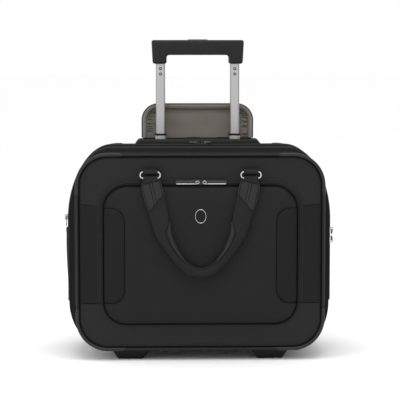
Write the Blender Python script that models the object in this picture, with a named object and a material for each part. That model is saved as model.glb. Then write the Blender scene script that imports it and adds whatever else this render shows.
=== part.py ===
"""A rolling laptop case, standing upright, in metres: +X right, -Y front, +Z up.

The origin is on the ground under the middle of the case. The case has a deep rear shell, a front cover
that folds down, a pull handle of three sliding stages with a push button, two wheels and two feet, a
carry handle on either face, and zip sliders with pullers.
"""

import math

import bmesh
import bpy
from mathutils import Vector

MM = 0.001
GAP = 0.3 * MM

# The case body: a rounded box whose gusset swells between the front and the rear piping.
WALL_Y = 96 * MM
WALL_HALF_WIDTH = 192.2 * MM
WALL_LOW = 20.8 * MM
FRONT_WALL_TOP = 324.7 * MM
REAR_WALL_TOP = 330.5 * MM
WALL_CORNER = 60 * MM
FRONT_CORNER = 46 * MM
SHOULDER = (70 * MM, 125 * MM)
WALL_RIM = 2 * MM
GUSSET_Y = 92.8 * MM
GUSSET_HALF_WIDTH = 196.5 * MM
GUSSET_SWELL = 15.5 * MM
GUSSET_LOW = 17.5 * MM
GUSSET_TOP = 329.5 * MM
GUSSET_RISE = 6.5 * MM
GUSSET_CREST_Y = 20 * MM
FABRIC_WALL = 4.5 * MM
PIPING_RADIUS = 2 * MM

# Where the front cover meets the shell: the zip line, the hinge line and the top of the bottom pan.
ZIP_Y = -30 * MM
HINGE_Y = -88.5 * MM
HINGE_Z = GUSSET_LOW
PAN_TOP = 85 * MM
COVER_WALL_IN_Y = -91.5 * MM
REAR_WALL_IN_Y = 92 * MM

# The front pocket: a padded panel, as half width, low and high edge and the two corner radii.
PANEL_HALF_WIDTH = 153 * MM
PANEL_LOW = 58.5 * MM
PANEL_HIGH = 278.7 * MM
PANEL_CORNERS = (35 * MM, 38 * MM)
PANEL_BACK_Y = -WALL_Y - GAP

# The pull handle: tube centres, then each stage's outer width and depth, low and high end.
TUBE_X = 61.7 * MM
TUBE_Y = 72 * MM
TUBE_WALL = 0.9 * MM
OUTER_TUBE = (23.0 * MM, 17.4 * MM, 46 * MM, 298 * MM)
LOWER_TUBE = (20.6 * MM, 15.0 * MM, 56 * MM, 302 * MM)
MIDDLE_TUBE = (18.2 * MM, 12.6 * MM, 104 * MM, 349.3 * MM)
INNER_TUBE = (15.8 * MM, 10.2 * MM, 228.5 * MM, 485.5 * MM)
COLLAR = (19.6 * MM, 14.2 * MM, 349.6 * MM, 352.7 * MM)
GRIP_TOP = 508 * MM
GRIP_UNDERSIDE = 483 * MM
GRIP_LOW = 468.5 * MM
GRIP_HALF_WIDTH = 76.8 * MM
GRIP_HALF_DEPTH = 12.5 * MM
LEG_WIDTH = 23.4 * MM
BUTTON_HALF = (16.6 * MM, 6.6 * MM)
BUTTON_LOW = 497 * MM
LOCK_BAR_LOW = 492.5 * MM
LOCK_ROD_WIDTH = 4 * MM
LOCK_ROD_LOW = 234.5 * MM
LOCK_CHANNEL_LOW = 488 * MM
SPRING_LOW = 484.9 * MM
SPRING_RADIUS = 3.1 * MM
SPRING_WIRE = 0.45 * MM
SPRING_TURNS = 3.5

# The recess in the top that the grip sinks into, and the hood-shaped flap behind it.
WELL_HALF_WIDTH = 98.2 * MM
WELL_Y = (54.5 * MM, 89.5 * MM)
WELL_WALL = 2.2 * MM
WELL_LOW = 298.5 * MM
WELL_FLOOR = 300.5 * MM
BEZEL_LOW = 336.8 * MM
BEZEL_TOP = 344 * MM
BEZEL_HALF_WIDTHS = (104.2 * MM, 98.6 * MM)
FLAP_HALF_WIDTH = 92.5 * MM
FLAP_Y = (86.2 * MM, 90.5 * MM)
FLAP_TOP = 402 * MM
FLAP_CORNER = 25 * MM
FLAP_HINGE = (0, 92.5 * MM, 344.6 * MM)

# The wheels in their corner housings, and the front feet.
WHEEL_X = 156 * MM
WHEEL_Y = 86.5 * MM
WHEEL_RADIUS = 31 * MM
TYRE_WIDTH = 22 * MM
TYRE_BORE = 22.8 * MM
AXLE_RADIUS = 3 * MM
HOUSING_HALF_WIDTH = 19.5 * MM
HOUSING_RADIUS = 38.5 * MM
HOUSING_FRONT_Y = 46 * MM
HOUSING_LOW = 14 * MM
WHEEL_SLOT_RADIUS = 34 * MM
WHEEL_SLOT_HALF_WIDTH = 13.2 * MM
FOOT_X = 111 * MM
FOOT_Y = -67 * MM
FOOT_TOP = GUSSET_LOW - GAP

# The carry handles: ring centres, ring size, loops round the ring bars, and the strap's route.
RING_X = 79.2 * MM
RING_Z = 296 * MM
RING_Y = 106.5 * MM
RING_HALF = (15.75 * MM, 4.9 * MM)
RING_WIRE = 1.6 * MM
LOOP_RADIUS = 3.8 * MM
LOOP_BORE = 2.15 * MM
LOOP_HALF_WIDTH = 12 * MM
STRAP_ROUTE = (
    # x, distance in front of the wall plane, z, width, thickness, all in mm
    (79.2, 10.6, 290.0, 22.0, 5.0),
    (77.6, 11.4, 281.0, 31.5, 5.0),
    (72.5, 15.4, 259.0, 32.0, 5.0),
    (67.2, 16.6, 240.0, 30.5, 5.5),
    (63.0, 18.0, 222.0, 28.5, 8.0),
    (58.2, 19.0, 204.5, 25.0, 10.5),
    (49.5, 19.6, 186.0, 20.0, 12.0),
    (38.0, 20.0, 168.0, 17.0, 13.0),
    (28.0, 20.0, 155.4, 16.0, 13.4),
    (15.0, 20.0, 145.6, 15.6, 13.5),
    (0.0, 20.0, 141.8, 15.4, 13.5),
)

# Zip sliders: body length along the zip, width, height, and the arch that holds the puller.
SLIDER_LENGTH = 10 * MM
SLIDER_WIDTH = 7.6 * MM
SLIDER_HEIGHT = 2.2 * MM
ARCH_LENGTH = 8.4 * MM
ARCH_WIDTH = 2.4 * MM
ARCH_HEIGHT = 6.2 * MM
ARCH_HOLE = (4.4 * MM, 2.4 * MM)
PULLER_THICKNESS = 1.4 * MM
PULLER_BAR = 1.5 * MM
PULLER_EYE = 4.3 * MM
POCKET_ZIP_Z = 284.2 * MM
TOP_ZIP_Y = 30 * MM
TOP_ZIP_MIDDLE = 3.5 * MM
SIDE_ZIP_Y = ZIP_Y
SIDE_POCKET_ZIP_Z = 220.5 * MM


def clear_scene():
    for thing in list(bpy.data.objects):
        bpy.data.objects.remove(thing, do_unlink=True)


def make_material(name, colour, roughness, metallic=0.0):
    made = bpy.data.materials.new(name)
    made.use_nodes = True
    shader = made.node_tree.nodes["Principled BSDF"]
    shader.inputs["Base Color"].default_value = (*colour, 1)
    shader.inputs["Roughness"].default_value = roughness
    shader.inputs["Metallic"].default_value = metallic
    return made


def world_place(thing):
    """Where an object's origin is, as the sum of its location and its parents'."""
    place = Vector((0, 0, 0))
    while thing is not None:
        place += thing.location
        thing = thing.parent
    return place


def pivot(name, at, on=None):
    """An empty on a joint's axis, which carries the pieces that move together."""
    made = bpy.data.objects.new(name, None)
    bpy.context.collection.objects.link(made)
    made.parent = on
    made.location = Vector(at) - world_place(on)
    return made


def place(name, shape, finish, on=None, smooth_angle=35):
    """Turns a bmesh drawn in world coordinates into an object whose origin is its pivot's."""
    bmesh.ops.recalc_face_normals(shape, faces=shape.faces)
    origin = world_place(on)
    bmesh.ops.translate(shape, verts=shape.verts, vec=-origin)
    mesh = bpy.data.meshes.new(name)
    shape.to_mesh(mesh)
    shape.free()
    mesh.materials.append(finish)
    mesh.shade_smooth()
    mesh.set_sharp_from_angle(angle=math.radians(smooth_angle))
    made = bpy.data.objects.new(name, mesh)
    bpy.context.collection.objects.link(made)
    made.parent = on
    return made


def combine(target, shape, operation):
    """Adds an exact Boolean of a helper solid, which stays hidden."""
    helper = place(f"{target.name}_{operation.lower()}_{len(target.modifiers)}", shape, target.data.materials[0])
    helper.hide_render = True
    helper.display_type = "WIRE"
    step = target.modifiers.new(helper.name, "BOOLEAN")
    step.operation = operation
    step.object = helper
    step.solver = "EXACT"


def cut(target, shape):
    combine(target, shape, "DIFFERENCE")


def join(target, shape):
    combine(target, shape, "UNION")


def round_edges(target, width, segments=2):
    bevel = target.modifiers.new("rounded", "BEVEL")
    bevel.width = width
    bevel.segments = segments
    bevel.limit_method = "ANGLE"
    bevel.angle_limit = math.radians(30)


def skin(rings, closed=False):
    """A solid through rings of points: end caps close it, or the last ring joins the first."""
    shape = bmesh.new()
    rows = [[shape.verts.new(point) for point in ring] for ring in rings]
    pairs = list(zip(rows, rows[1:]))
    if closed:
        pairs.append((rows[-1], rows[0]))
    else:
        shape.faces.new(rows[0][::-1])
        shape.faces.new(rows[-1])
    for first, second in pairs:
        for i in range(len(first)):
            j = (i + 1) % len(first)
            shape.faces.new((first[i], first[j], second[j], second[i]))
    return shape


def block(low, high):
    """A box between two corners."""
    rings = []
    for z in (low[2], high[2]):
        rings.append([(low[0], low[1], z), (high[0], low[1], z), (high[0], high[1], z), (low[0], high[1], z)])
    return skin(rings)


def rounded(half_width, low, high, radius, steps=7):
    """Points (across, up) round a rectangle with round corners; radius may be a (low, high) pair."""
    low_radius, high_radius = radius if isinstance(radius, tuple) else (radius, radius)
    corners = (
        (1, low + low_radius, low_radius, -90),
        (1, high - high_radius, high_radius, 0),
        (-1, high - high_radius, high_radius, 90),
        (-1, low + low_radius, low_radius, 180),
    )
    points = []
    for side, up, size, start in corners:
        across = side * (half_width - size)
        for step in range(steps + 1):
            angle = math.radians(start + 90 * step / steps)
            points.append((across + size * math.cos(angle), up + size * math.sin(angle)))
    return points


def upright(points, y):
    """An (x, z) outline as a ring at depth y."""
    return [(x, y, z) for x, z in points]


def level(points, z, x=0.0, y=0.0):
    """An (x, y) outline as a ring at height z."""
    return [(x + across, y + along, z) for across, along in points]


def cylinder_along_x(centre, radius, half_length, steps=20):
    rings = []
    for end in (-half_length, half_length):
        ring = []
        for step in range(steps):
            angle = 2 * math.pi * step / steps
            ring.append((centre[0] + end, centre[1] + radius * math.cos(angle), centre[2] + radius * math.sin(angle)))
        rings.append(ring)
    return skin(rings)


def turned_about_x(centre, profile, steps=28):
    """A ring turned about an axis along X from a closed profile of (radius, x) points."""
    rings = []
    for step in range(steps):
        angle = 2 * math.pi * step / steps
        ring = []
        for radius, x in profile:
            ring.append((centre[0] + x, centre[1] + radius * math.cos(angle), centre[2] + radius * math.sin(angle)))
        rings.append(ring)
    return skin(rings, closed=True)


def gusset_outline(y, inset=0.0):
    """The body's outline at depth y: the sides and the top swell as parabolas between the pipings, and the
    upper corners are ellipses, taller than wide in the middle, so that the shoulders slope."""
    half_width = GUSSET_HALF_WIDTH + GUSSET_SWELL * (1 - (y / GUSSET_Y) ** 2)
    crest_reach = GUSSET_Y + GUSSET_CREST_Y
    top = GUSSET_TOP + GUSSET_RISE * (1 - ((y - GUSSET_CREST_Y) / crest_reach) ** 2)
    middle = 1 - (y / GUSSET_Y) ** 2
    edge = (FRONT_CORNER if y < 0 else WALL_CORNER) + GUSSET_HALF_WIDTH - WALL_HALF_WIDTH
    across = edge + (SHOULDER[0] - edge) * middle - inset
    down = edge + (SHOULDER[1] - edge) * middle - inset
    low_corner = edge + GUSSET_SWELL * middle - inset
    low, top = GUSSET_LOW + inset, top - inset
    points = []
    for x, z in rounded(half_width - inset, low, top, (low_corner, across)):
        if z > top - across - 0.001 * MM:
            z = top - down + (z - top + across) * down / across
        points.append((x, z))
    return points


def wall_outline(top, grow=0.0):
    """The flat front or rear wall's outline, grown outwards by an amount; the front wall's corners are tighter."""
    corner = FRONT_CORNER if top == FRONT_WALL_TOP else WALL_CORNER
    return rounded(WALL_HALF_WIDTH + grow, WALL_LOW - grow, top + grow, corner + grow)


def side_surface(y):
    """How far the gusset's side stands from the middle plane at depth y."""
    return GUSSET_HALF_WIDTH + GUSSET_SWELL * (1 - (y / GUSSET_Y) ** 2)


def top_surface(y):
    crest_reach = GUSSET_Y + GUSSET_CREST_Y
    return GUSSET_TOP + GUSSET_RISE * (1 - ((y - GUSSET_CREST_Y) / crest_reach) ** 2)


def housing_outline(grow=0.0):
    """The wheel housing seen from the side, (y, z): a flat front and an arch that ends behind the axle."""
    radius = HOUSING_RADIUS + grow
    start, end = math.radians(158), math.radians(-10)
    points = [(HOUSING_FRONT_Y - grow, HOUSING_LOW - grow)]
    for step in range(13):
        angle = start + (end - start) * step / 12
        points.append((WHEEL_Y + radius * math.cos(angle), WHEEL_RADIUS + radius * math.sin(angle)))
    points[1] = (HOUSING_FRONT_Y - grow, points[1][1])
    points.append((WHEEL_Y + 14 * MM, HOUSING_LOW - grow))
    return points


def along_x(outline, low, high):
    """A (y, z) outline extruded between two x values."""
    return skin([[(x, y, z) for y, z in outline] for x in (low, high)])


def make_main_shell(finish):
    """The rear shell: a tray open to the front, whose floor runs on as a pan under the front cover."""
    depths = [GUSSET_Y, 70 * MM, 45 * MM, 15 * MM, -16 * MM, -50 * MM, -72 * MM]
    mouth = HINGE_Y + GAP
    rings = [upright(gusset_outline(REAR_WALL_IN_Y, FABRIC_WALL + 2 * MM), REAR_WALL_IN_Y)]
    for y in [88 * MM] + depths[1:] + [mouth]:
        rings.append(upright(gusset_outline(y, FABRIC_WALL), y))
    for y in [mouth] + depths[::-1]:
        rings.append(upright(gusset_outline(y), y))
    rings.append(upright(wall_outline(REAR_WALL_TOP), WALL_Y - WALL_RIM))
    rings.append(upright(wall_outline(REAR_WALL_TOP), WALL_Y))
    shell = place("main_shell", skin(rings), finish)
    far = 400 * MM
    cut(shell, block((-far, -far, PAN_TOP), (far, ZIP_Y + GAP, far)))
    room = 0.8 * MM
    cut(
        shell,
        block(
            (-WELL_HALF_WIDTH - room, WELL_Y[0] - room, WELL_LOW),
            (WELL_HALF_WIDTH + room, WELL_Y[1] + room, far),
        ),
    )
    for side in (-1, 1):
        middle = side * WHEEL_X
        half = HOUSING_HALF_WIDTH + GAP
        cut(shell, along_x(housing_outline(0.4 * MM), middle - half, middle + half))
    return shell


def make_front_cover(finish, on):
    """The front wall with the front half of the gusset above the bottom pan."""
    mouth = ZIP_Y - GAP
    rings = [upright(gusset_outline(COVER_WALL_IN_Y, FABRIC_WALL + 2 * MM), COVER_WALL_IN_Y)]
    for y in (-88 * MM, -70 * MM, -50 * MM, mouth):
        rings.append(upright(gusset_outline(y, FABRIC_WALL), y))
    for y in (mouth, -50 * MM, -70 * MM, -GUSSET_Y):
        rings.append(upright(gusset_outline(y), y))
    rings.append(upright(wall_outline(FRONT_WALL_TOP), -WALL_Y + WALL_RIM))
    rings.append(upright(wall_outline(FRONT_WALL_TOP), -WALL_Y))
    cover = place("front_cover", skin(rings), finish, on)
    far = 400 * MM
    cut(cover, block((-far, HINGE_Y - GAP, -far), (far, far, PAN_TOP + GAP)))


def make_piping(name, y, top, finish, on=None):
    """A round cord that follows the wall's edge."""
    rings = []
    for step in range(6):
        angle = 2 * math.pi * step / 6
        grow = PIPING_RADIUS + GAP + PIPING_RADIUS * math.cos(angle)
        rings.append(upright(wall_outline(top, grow), y + PIPING_RADIUS * math.sin(angle)))
    return place(name, skin(rings, closed=True), finish, on, 80)


def make_rear_piping(finish):
    """The rear piping ends at the wheel housings, which cover the bottom corners."""
    piping = make_piping("rear_piping", WALL_Y + GAP, REAR_WALL_TOP, finish)
    reach = WHEEL_X + HOUSING_HALF_WIDTH + 0.4 * MM
    cut(piping, block((-reach, WALL_Y - 10 * MM, 0), (reach, WALL_Y + 10 * MM, PAN_TOP)))


def make_pocket_panel(finish, on):
    """A shallow padded tray, open towards the wall behind it."""
    hollow = ((45, 7.0), (16, 6.2), (7, 4.0), (4, 0))
    outside = ((0, 0), (0.6, 3.2), (2.6, 5.8), (7, 7.8), (16, 9.4), (45, 10.6))
    rings = []
    for inset, rise in hollow + outside:
        inset *= MM
        corners = tuple(max(size - inset, 3 * MM) for size in PANEL_CORNERS)
        outline = rounded(PANEL_HALF_WIDTH - inset, PANEL_LOW + inset, PANEL_HIGH - inset, corners, 5)
        rings.append(upright(outline, PANEL_BACK_Y - rise * MM))
    place("front_pocket_panel", skin(rings), finish, on)


def make_emblem(finish, on):
    """A plain oval badge without any mark."""
    rings = []
    for inset, rise in ((0, 0), (0, 1.0), (0.8, 1.6)):
        ring = []
        for step in range(20):
            angle = 2 * math.pi * step / 20
            ring.append(
                (
                    (9 - inset) * MM * math.cos(angle),
                    PANEL_BACK_Y - (10.9 + rise) * MM,
                    231 * MM + (11 - inset) * MM * math.sin(angle),
                )
            )
        rings.append(ring)
    place("emblem", skin(rings), finish, on)


def make_side_pocket(finish):
    """A slim pocket on the left gusset, fullest at its top and flat at its bottom."""
    low, high = 95 * MM, 201.5 * MM
    front, rear = -8 * MM, 62 * MM
    rings = []
    for step in range(6):
        up = step / 5
        z = low + (high - low) * up
        swell = 1.0 * MM + 4.6 * MM * math.sin(0.5 * math.pi * min(1.0, 1.25 * up))
        inner, outer = [], []
        for part in range(7):
            across = part / 6
            y = front + (rear - front) * across
            x = side_surface(y) + 0.4 * MM
            inner.append((-x, y, z))
            outer.append((-x - 0.8 * MM - swell * math.sin(math.pi * across) ** 0.5, y, z))
        rings.append(inner + outer[::-1])
    place("side_pocket", skin(rings), finish)


def hollow_tube(x, size, low, high, wall=TUBE_WALL):
    """A tube of rounded rectangular section about (x, TUBE_Y)."""
    outlines = []
    for inset, radius in ((0, 3.4 * MM), (wall, 2.5 * MM)):
        half_depth = size[1] / 2 - inset
        outlines.append(rounded(size[0] / 2 - inset, -half_depth, half_depth, radius, 3))
    outer, inner = outlines
    rings = [
        level(outer, low, x, TUBE_Y),
        level(outer, high, x, TUBE_Y),
        level(inner, high, x, TUBE_Y),
        level(inner, low, x, TUBE_Y),
    ]
    return skin(rings, closed=True)


def make_tubes(names, size, finish, on=None):
    for side, label in ((-1, "left"), (1, "right")):
        place(f"{names}_{label}", hollow_tube(side * TUBE_X, size[:2], size[2], size[3]), finish, on)


def make_collars(finish, on):
    """The guide ring on top of each middle tube, with room for the inner tube."""
    wall = (COLLAR[0] - INNER_TUBE[0]) / 2 - GAP
    for side, label in ((-1, "left"), (1, "right")):
        shape = hollow_tube(side * TUBE_X, COLLAR[:2], COLLAR[2], COLLAR[3], wall)
        place(f"middle_collar_{label}", shape, finish, on)


def make_handle_well(finish):
    """A basin with a sloping bezel on top and a hole in its floor for each set of tubes."""
    y_low, y_high = WELL_Y
    in_half = WELL_HALF_WIDTH - WELL_WALL
    corner = 6 * MM
    rings = [
        level(rounded(in_half, y_low + WELL_WALL, y_high - WELL_WALL, corner, 3), WELL_FLOOR),
        level(rounded(in_half, y_low + WELL_WALL, y_high - WELL_WALL, corner, 3), BEZEL_TOP - 1 * MM),
        level(rounded(in_half + 0.6 * MM, y_low + 1.6 * MM, y_high - 1.6 * MM, corner, 3), BEZEL_TOP),
        level(rounded(BEZEL_HALF_WIDTHS[1], y_low - 2.6 * MM, y_high + 2.2 * MM, corner, 3), BEZEL_TOP),
        level(rounded(BEZEL_HALF_WIDTHS[0], y_low - 5 * MM, y_high + 3.5 * MM, corner, 3), BEZEL_LOW),
        level(rounded(WELL_HALF_WIDTH, y_low, y_high, corner, 3), BEZEL_LOW),
        level(rounded(WELL_HALF_WIDTH, y_low, y_high, corner, 3), WELL_LOW),
    ]
    well = place("handle_well", skin(rings), finish)
    half = (LOWER_TUBE[0] / 2 + 0.4 * MM, LOWER_TUBE[1] / 2 + 0.4 * MM)
    for side in (-1, 1):
        x = side * TUBE_X
        cut(
            well,
            block(
                (x - half[0], TUBE_Y - half[1], WELL_LOW - 5 * MM),
                (x + half[0], TUBE_Y + half[1], WELL_FLOOR + 5 * MM),
            ),
        )


def make_flap(finish, on):
    """The cover over the stowed handle, here standing open: a plate with a low wall at either side."""
    low = FLAP_HINGE[2]
    rings = []
    for inset, y in ((1.2 * MM, FLAP_Y[0]), (0, FLAP_Y[0] + 1 * MM), (0, FLAP_Y[1] - 1 * MM), (1.2 * MM, FLAP_Y[1])):
        outline = rounded(FLAP_HALF_WIDTH - inset, low, FLAP_TOP - inset, (1 * MM, FLAP_CORNER - inset), 5)
        rings.append(upright(outline, y))
    flap = place("handle_flap", skin(rings), finish, on)
    for side in (-1, 1):
        ends = sorted((side * 85.5 * MM, side * (FLAP_HALF_WIDTH - 0.4 * MM)))
        join(flap, block((ends[0], 79 * MM, low + 1 * MM), (ends[1], 88 * MM, 374 * MM)))


def make_tube_bracket(finish):
    """The foot that holds both outer tubes on the floor of the shell."""
    low = GUSSET_LOW + FABRIC_WALL + GAP
    bracket = place("tube_bracket", block((-84 * MM, 60 * MM, low), (84 * MM, 84 * MM, 60 * MM)), finish)
    round_edges(bracket, 2 * MM, 1)
    half = (OUTER_TUBE[0] / 2 + GAP, OUTER_TUBE[1] / 2 + GAP)
    for side in (-1, 1):
        x = side * TUBE_X
        cut(
            bracket,
            block(
                (x - half[0], TUBE_Y - half[1], OUTER_TUBE[2] - GAP),
                (x + half[0], TUBE_Y + half[1], 80 * MM),
            ),
        )


def make_grip(finish, on):
    """The U-shaped grip: a crossbar on two short legs, with a bore up each leg and a channel for the lock."""
    leg_in = GRIP_HALF_WIDTH - 2 * MM - LEG_WIDTH
    outline = [
        (GRIP_HALF_WIDTH - 2 * MM, GRIP_LOW),
        (GRIP_HALF_WIDTH, GRIP_TOP),
        (-GRIP_HALF_WIDTH, GRIP_TOP),
        (-GRIP_HALF_WIDTH + 2 * MM, GRIP_LOW),
        (-leg_in, GRIP_LOW),
        (-leg_in, GRIP_UNDERSIDE),
        (leg_in, GRIP_UNDERSIDE),
        (leg_in, GRIP_LOW),
    ]
    shape = skin([upright(outline, TUBE_Y + end) for end in (-GRIP_HALF_DEPTH, GRIP_HALF_DEPTH)])
    grip = place("grip", shape, finish, on)
    round_edges(grip, 3.5 * MM)
    for side in (-1, 1):
        x = side * TUBE_X
        half = (INNER_TUBE[0] / 2 + GAP, INNER_TUBE[1] / 2 + GAP)
        cut(
            grip,
            block(
                (x - half[0], TUBE_Y - half[1], GRIP_LOW - 5 * MM),
                (x + half[0], TUBE_Y + half[1], LOCK_CHANNEL_LOW + 1 * MM),
            ),
        )
    reach = TUBE_X + LOCK_ROD_WIDTH / 2 + 1.5 * MM
    cut(
        grip,
        block(
            (-reach, TUBE_Y - 3.2 * MM, LOCK_CHANNEL_LOW),
            (reach, TUBE_Y + 3.2 * MM, BUTTON_LOW + 0.4 * MM),
        ),
    )
    spring_room = SPRING_RADIUS + SPRING_WIRE + 0.6 * MM
    cut(
        grip,
        block(
            (-spring_room, TUBE_Y - spring_room, SPRING_LOW - GAP),
            (spring_room, TUBE_Y + spring_room, BUTTON_LOW),
        ),
    )
    half = (BUTTON_HALF[0] + GAP, BUTTON_HALF[1] + GAP)
    cut(
        grip,
        block(
            (-half[0], TUBE_Y - half[1], LOCK_BAR_LOW - 0.2 * MM),
            (half[0], TUBE_Y + half[1], GRIP_TOP + 5 * MM),
        ),
    )


def make_lock(button_finish, steel, on):
    """The push button, and the frame under it whose rods run down the inner tubes to their lock pins."""
    button = block(
        (-BUTTON_HALF[0], TUBE_Y - BUTTON_HALF[1], BUTTON_LOW + GAP),
        (BUTTON_HALF[0], TUBE_Y + BUTTON_HALF[1], GRIP_TOP + 1 * MM),
    )
    round_edges(place("release_button", button, button_finish, on), 1.2 * MM)
    outer = TUBE_X + LOCK_ROD_WIDTH / 2
    inner = TUBE_X - LOCK_ROD_WIDTH / 2
    outline = [
        (outer, LOCK_ROD_LOW),
        (outer, BUTTON_LOW),
        (-outer, BUTTON_LOW),
        (-outer, LOCK_ROD_LOW),
        (-inner, LOCK_ROD_LOW),
        (-inner, LOCK_BAR_LOW),
        (inner, LOCK_BAR_LOW),
        (inner, LOCK_ROD_LOW),
    ]
    half = LOCK_ROD_WIDTH / 2
    place("lock_frame", skin([upright(outline, TUBE_Y + end) for end in (-half, half)]), steel, on)


def make_spring(finish, on):
    """A coil under the lock frame that pushes the button back up."""
    steps_per_turn = 10
    count = int(SPRING_TURNS * steps_per_turn)
    height = LOCK_BAR_LOW - SPRING_LOW - 2 * SPRING_WIRE - GAP
    rings = []
    for step in range(count + 1):
        turn = 2 * math.pi * step / steps_per_turn
        out = Vector((math.cos(turn), math.sin(turn), 0))
        centre = Vector((0, TUBE_Y, SPRING_LOW + SPRING_WIRE + height * step / count))
        ring = []
        for corner in range(5):
            angle = 2 * math.pi * corner / 5
            offset = out * (SPRING_RADIUS + SPRING_WIRE * math.cos(angle))
            ring.append(centre + offset + Vector((0, 0, SPRING_WIRE * math.sin(angle))))
        rings.append(ring)
    place("button_spring", skin(rings), finish, on, 80)


def make_wheel(side, label, finishes):
    """One corner: the housing and its axle stay, the hub and the tyre turn."""
    x = side * WHEEL_X
    centre = (x, WHEEL_Y, WHEEL_RADIUS)
    shape = along_x(housing_outline(), x - HOUSING_HALF_WIDTH, x + HOUSING_HALF_WIDTH)
    housing = place(f"wheel_housing_{label}", shape, finishes["plastic"])
    slot = [(WHEEL_Y - WHEEL_SLOT_RADIUS, -20 * MM), (WHEEL_Y - WHEEL_SLOT_RADIUS, WHEEL_RADIUS)]
    for step in range(1, 13):
        angle = math.pi - math.pi * step / 12
        slot.append(
            (WHEEL_Y + WHEEL_SLOT_RADIUS * math.cos(angle), WHEEL_RADIUS + WHEEL_SLOT_RADIUS * math.sin(angle))
        )
    slot.append((WHEEL_Y + WHEEL_SLOT_RADIUS + 20 * MM, WHEEL_RADIUS))
    slot.append((WHEEL_Y + WHEEL_SLOT_RADIUS + 20 * MM, -20 * MM))
    cut(housing, along_x(slot, x - WHEEL_SLOT_HALF_WIDTH, x + WHEEL_SLOT_HALF_WIDTH))
    cut(housing, cylinder_along_x(centre, AXLE_RADIUS + GAP, 30 * MM))
    axle = cylinder_along_x(centre, AXLE_RADIUS, HOUSING_HALF_WIDTH - 1.5 * MM, 16)
    place(f"wheel_axle_{label}", axle, finishes["steel"])
    turning = pivot(f"wheel_{label}_axis", centre)
    half = TYRE_WIDTH / 2
    tread = ((-1, TYRE_BORE), (-1, 28.4 * MM), (-0.78, 30.3 * MM), (-0.3, WHEEL_RADIUS))
    tyre = [(radius, share * half) for share, radius in tread]
    tyre += [(radius, -x_part) for radius, x_part in tyre[::-1]]
    place(f"wheel_tyre_{label}", turned_about_x(centre, tyre), finishes["rubber"], turning)
    rim = TYRE_BORE - GAP
    bore = AXLE_RADIUS + GAP
    half_hub = [(bore, -9.5), (8.5, -9.5), (9.5, -6), (19.5, -6), (20.5, -9.5), (rim / MM, -9.5)]
    half_hub[0] = (bore / MM, -9.5)
    hub = [(radius * MM, across * MM) for radius, across in half_hub]
    hub += [(radius, -across) for radius, across in hub[::-1]]
    place(f"wheel_hub_{label}", turned_about_x(centre, hub, 24), finishes["hub"], turning)


def make_foot(side, label, finish):
    """A block that narrows towards the ground."""
    rings = []
    for half_width, half_depth, z in ((31, 17, FOOT_TOP), (22.5, 15, 4 * MM), (20.5, 14, 1.2 * MM), (18.5, 12.5, 0)):
        outline = rounded(half_width * MM, -half_depth * MM, half_depth * MM, 3 * MM, 2)
        rings.append(level(outline, z, side * FOOT_X, FOOT_Y))
    place(f"front_foot_{label}", skin(rings), finish)


def make_ring(name, x, y, finish, on):
    """A wire ring with straight bars above and below and round ends."""
    rings = []
    steps = 6
    for side in (1, -1):
        for step in range(steps + 1):
            angle = math.radians(-90 + 180 * step / steps) + (0 if side == 1 else math.pi)
            out = Vector((math.cos(angle), 0, math.sin(angle)))
            across = side * (RING_HALF[0] - RING_HALF[1])
            centre = Vector((x + across, y, RING_Z)) + out * RING_HALF[1]
            ring = []
            for corner in range(8):
                turn = 2 * math.pi * corner / 8
                ring.append(centre + RING_WIRE * (out * math.cos(turn) + Vector((0, math.sin(turn), 0))))
            rings.append(ring)
    place(name, skin(rings, closed=True), finish, on, 80)


def make_anchor(name, x, face, finish, on):
    """The webbing loop that holds a ring's upper bar to the wall; face is -1 in front, 1 behind."""
    bar_z = RING_Z + RING_HALF[1]
    wall = face * (WALL_Y + GAP)
    plate = (wall, wall + face * 1.6 * MM)
    shape = block(
        (x - LOOP_HALF_WIDTH, min(plate), 288.5 * MM),
        (x + LOOP_HALF_WIDTH, max(plate), 306 * MM),
    )
    anchor = place(name, shape, finish, on)
    neck = sorted((wall + face * 1 * MM, face * RING_Y))
    join(
        anchor,
        block(
            (x - LOOP_HALF_WIDTH + 0.02 * MM, neck[0], bar_z - 2.4 * MM),
            (x + LOOP_HALF_WIDTH - 0.02 * MM, neck[1], bar_z + 2.4 * MM),
        ),
    )
    centre = (x, face * RING_Y, bar_z)
    join(anchor, cylinder_along_x(centre, LOOP_RADIUS, LOOP_HALF_WIDTH - 0.04 * MM, 16))
    cut(anchor, cylinder_along_x(centre, LOOP_BORE, 30 * MM, 16))


def strap_route(face, steps=2):
    """The strap's centre line and section, left to right, as a smooth curve through STRAP_ROUTE."""
    half = [(-row[0], *row[1:]) for row in STRAP_ROUTE]
    whole = half + [row for row in STRAP_ROUTE[-2::-1]]
    route = []
    for i in range(len(whole) - 1):
        before, start = whole[max(i - 1, 0)], whole[i]
        end, after = whole[i + 1], whole[min(i + 2, len(whole) - 1)]
        for step in range(steps):
            t = step / steps
            point = []
            for a, b, c, d in zip(before, start, end, after):
                point.append(
                    0.5 * (2 * b + (c - a) * t + (2 * a - 5 * b + 4 * c - d) * t * t + (3 * b - a - 3 * c + d) * t**3)
                )
            route.append(point)
    route.append(list(whole[-1]))
    made = []
    for x, out, z, width, thickness in route:
        made.append((Vector((x * MM, face * (WALL_Y + out * MM), z * MM)), width * MM, thickness * MM))
    return made


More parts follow.
